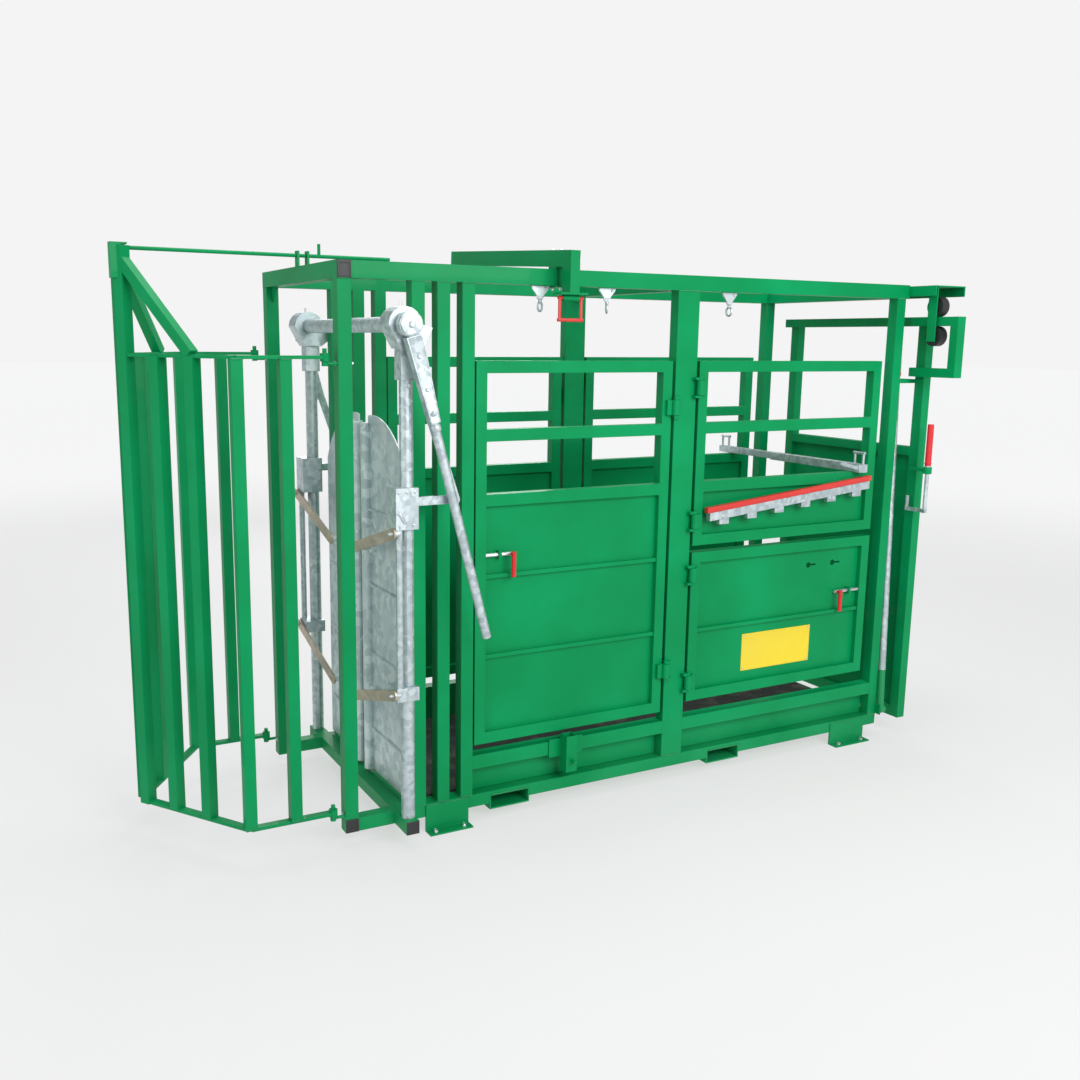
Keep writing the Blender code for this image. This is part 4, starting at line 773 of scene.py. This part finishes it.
def roller_fittings():
    """A side plate with five screws on each of the two rollers."""
    screws, circle, gap, plate_thick = 5, 0.026, 0.0005, 0.0023
    for roller in ("upper_roller", "lower_roller"):
        middle, face_x = centre_of(roller), corners(roller)[1].x + gap
        plate = turned(radius=0.030, depth=0.0030, sides=32)
        raise_face(plate, UP, ((0.006, -0.0010), (0.010, 0.0014)))
        items = [stand(plate, at(face_x, middle.y, middle.z), REARWARD)]
        for turn in range(screws):
            angle = turn * 2 * math.pi / screws
            across, high = circle * math.cos(angle), circle * math.sin(angle)
            spot = at(face_x + plate_thick, middle.y + across, middle.z + high)
            items.append(put(BOLT_HEAD, spot, REARWARD, size=0.26, spin=angle))
        piece(roller + "_plate", items, roller, BLACK)


frame_bolts()
housing_bolts()
for side_name, side in SIDES.items():
    carriage_fittings(side_name + "_carriage", side)
lever_fittings()
roller_fittings()


# Plugs, rings, grips and plate

def tube_plugs():
    """Black plugs in the open ends of the portal's tubes and of the head gate's base frame."""
    base_tube_x = corners("front_base_frame")[1].x - TUBE / 2
    made = []
    for side in (LEFT, RIGHT):
        out = (0, side, 0)
        made.append(put(PLUG, at(base_tube_x, side * HEAD_GATE_HALF, BASE_MIDDLE), out))
        made.append(put(PLUG, at(TUBE / 2, side * HALF, TOP_MIDDLE), out, size=(1.0, 1.2, 1.0)))
        made.append(put(PLUG, at(TUBE / 2, side * HALF, BASE_MIDDLE), out))
    piece("tube_plugs", made, "frame", BLACK)


def hanger_rings():
    """A shackle and a swivelling snap ring under each lug of the left top rail."""
    bow_drop, swivel_drop, loop_drop = 0.006, 0.031, 0.043
    bolt_reach, half_lug, lengthened = 0.022, 0.004, 0.004
    upright = Matrix.Rotation(math.pi / 2, 4, "X")
    sideways = Matrix.Rotation(math.pi / 2, 4, "Z")
    made = []
    for index, x in enumerate(HANGERS_X):
        bow = ring(radius=0.0125, rod=0.0038, sides=24)
        moved(bow, Matrix.Translation(at(x, -MIDDLE, HANGER_HOLE_Z - bow_drop)) @ upright @ sideways)
        swivel = turned(radius=0.0070, depth=0.009, sides=16)
        raise_face(swivel, UP, ((0.0016, 0.0020),))
        stand(swivel, at(x, -MIDDLE, HANGER_HOLE_Z - swivel_drop))
        loop = ring(radius=0.0145, rod=0.0042, sides=28)
        select_faces(loop, lambda face: face.center.y < 0)
        bpy.ops.transform.translate(value=(0, -lengthened, 0))
        bpy.ops.object.mode_set(mode="OBJECT")
        swing = Matrix.Rotation(0.5 + index * 0.6, 4, "Z")
        moved(loop, Matrix.Translation(at(x, -MIDDLE, HANGER_HOLE_Z - loop_drop)) @ swing @ upright)
        made += [bow, swivel, loop]
        for side in (LEFT, RIGHT):
            spot = at(x + bolt_reach, -MIDDLE + side * half_lug, HANGER_HOLE_Z + bolt_reach)
            made.append(put(BOLT_HEAD, spot, (0, side, 0), size=0.55))
    piece("hanger_rings", made, "frame", ZINC)


def grip_ribs(name, body, start, end, radius, count):
    """Raised rings along a red sleeve, and a collar where it starts."""
    way = (end - start).normalized()
    made = []
    for index in range(count):
        spot = start.lerp(end, (index + 0.5) / count)
        made.append(put(RIB, spot, way, size=(radius, radius, radius * 1.4)))
    collar = soften(turned(radius=radius * 1.16, depth=0.006, sides=24), 0.0018, segments=3)
    made.append(stand(collar, start - way * 0.001, way))
    piece(name, made, body, GRIP)


def gate_lever_grip():
    """The grip's ribs on the leaning hand lever of the rear gate."""
    foot = at(GATE_LEVER_X, -HALF - 0.012, 0.134)
    head = at(GATE_LEVER_X, -HALF + 0.048, 1.945)
    ends_z = (1.722, 1.938)
    start, end = [foot.lerp(head, (z - foot.z) / (head.z - foot.z)) for z in ends_z]
    grip_ribs("gate_lever_ribs", "gate_lever", start, end, radius=0.0180, count=15)


def latch_grip():
    """The grip's ribs on the latch crank."""
    middle, (low, high) = centre_of("latch_grip"), corners("latch_grip")
    start = at(middle.x, middle.y, low.z + 0.0084)
    end = at(middle.x, middle.y, high.z - 0.0060)
    grip_ribs("latch_ribs", "latch_crank", start, end, radius=0.0136, count=14)


def sign_plate():
    """The plain yellow plate on the left lower door, on four rivets."""
    thick, inset = 0.0020, 0.010
    plate = block(at(SIGN_X[0], SIGN_FACE_Y, SIGN_Z[0]), at(SIGN_X[1], SIGN_FACE_Y + thick, SIGN_Z[1]))
    raise_face(plate, TO_THE_LEFT, ((0.006, -0.0006),))
    soften(plate, 0.0004)
    piece("sign_plate", [plate], "left_lower_door", YELLOW)
    rivets = []
    for x in (SIGN_X[0] + inset, SIGN_X[1] - inset):
        for z in (SIGN_Z[0] + inset, SIGN_Z[1] - inset):
            rivet = turned(radius=0.0036, depth=0.0010, sides=14)
            raise_face(rivet, UP, ((0.0010, 0.0006),))
            rivets.append(stand(rivet, at(x, SIGN_FACE_Y, z), TO_THE_LEFT))
    piece("plate_rivets", rivets, "left_lower_door", PLATED)


tube_plugs()
hanger_rings()
gate_lever_grip()
latch_grip()
sign_plate()

for model in (BOLT_HEAD, NUT, BEAD, PLUG, RIB):
    bpy.data.objects.remove(model)


# Floor, light and camera

def grey(value):
    return (value, value, value)


def studio_floor():
    """A pale floor that fades into the backdrop away from the object."""
    bpy.ops.mesh.primitive_plane_add(size=160.0, location=(0, 0, 0))
    floor = bpy.context.object
    floor.name = "studio_floor"
    f = Finish("studio_floor")
    cloud = f.noise(0.8, 2.0)
    reach = (f.x * f.x + f.y * f.y) ** 0.5
    glow = f.mix(f.band(reach, 3.0, 12.0), grey(0.575), grey(0.795))
    f.feed(f.shader.inputs["Emission Color"], glow)
    f.shader.inputs["Emission Strength"].default_value = 1.0
    floor.data.materials.append(f.finish(f.mix(cloud, grey(0.205), grey(0.215)), 0.9))


def softbox(name, place, target, size, power):
    light = bpy.data.lights.new(name, "AREA")
    light.shape = "RECTANGLE"
    light.size, light.size_y = size
    light.energy = power
    lamp = bpy.data.objects.new(name, light)
    bpy.context.scene.collection.objects.link(lamp)
    lamp.location = place
    lamp.rotation_euler = (Vector(target) - Vector(place)).to_track_quat("-Z", "Y").to_euler()


def studio_light():
    """A pale backdrop, dim light all round, a broad key on the left side and a softer one on top."""
    world = bpy.data.worlds.new("studio")
    world.use_nodes = True
    nodes, links = world.node_tree.nodes, world.node_tree.links
    all_round = nodes["Background"]
    all_round.inputs["Color"].default_value = (0.96, 0.98, 1.0, 1.0)
    all_round.inputs["Strength"].default_value = 0.46
    backdrop = nodes.new("ShaderNodeBackground")
    backdrop.inputs["Color"].default_value = (*grey(0.905), 1.0)
    seen = nodes.new("ShaderNodeLightPath")
    blend = nodes.new("ShaderNodeMixShader")
    links.new(seen.outputs["Is Camera Ray"], blend.inputs[0])
    links.new(all_round.outputs[0], blend.inputs[1])
    links.new(backdrop.outputs[0], blend.inputs[2])
    links.new(blend.outputs[0], nodes["World Output"].inputs["Surface"])
    bpy.context.scene.world = world
    softbox("key_light", (0.6, -5.6, 3.6), target=(0.2, 0, 1.0), size=(4.2, 2.6), power=290)
    softbox("front_light", (-5.4, -1.6, 2.6), target=(-1.0, 0, 1.0), size=(2.4, 2.4), power=70)
    softbox("top_light", (0.2, 0.4, 5.4), target=(0, 0, 1.0), size=(4.0, 3.0), power=170)
    softbox("far_light", (1.6, 5.4, 3.2), target=(0, 0, 1.0), size=(3.0, 2.4), power=110)
    bpy.context.scene.view_settings.view_transform = "Standard"


def camera():
    """The photograph's viewpoint: a little above the top rails, in front of the left side."""
    yaw, pitch, roll = math.radians(27.768), math.radians(10.413), math.radians(-0.590)
    eye = at(-1.2496, -4.0246, 1.856)
    ahead = Vector((math.sin(yaw) * math.cos(pitch), math.cos(yaw) * math.cos(pitch), -math.sin(pitch)))
    level = Vector((math.cos(yaw), -math.sin(yaw), 0.0))
    down = ahead.cross(level)
    across = level * math.cos(roll) + down * math.sin(roll)
    below = down * math.cos(roll) - level * math.sin(roll)
    lens = bpy.data.cameras.new("camera")
    lens.sensor_width = 36.0
    lens.lens = 36.124
    lens.shift_x = 0.037
    lens.clip_end = 100.0
    view = bpy.data.objects.new("camera", lens)
    bpy.context.scene.collection.objects.link(view)
    turn = Matrix((across, -below, -ahead)).transposed().to_4x4()
    view.matrix_world = Matrix.Translation(eye) @ turn
    bpy.context.scene.camera = view


studio_floor()
studio_light()
camera()
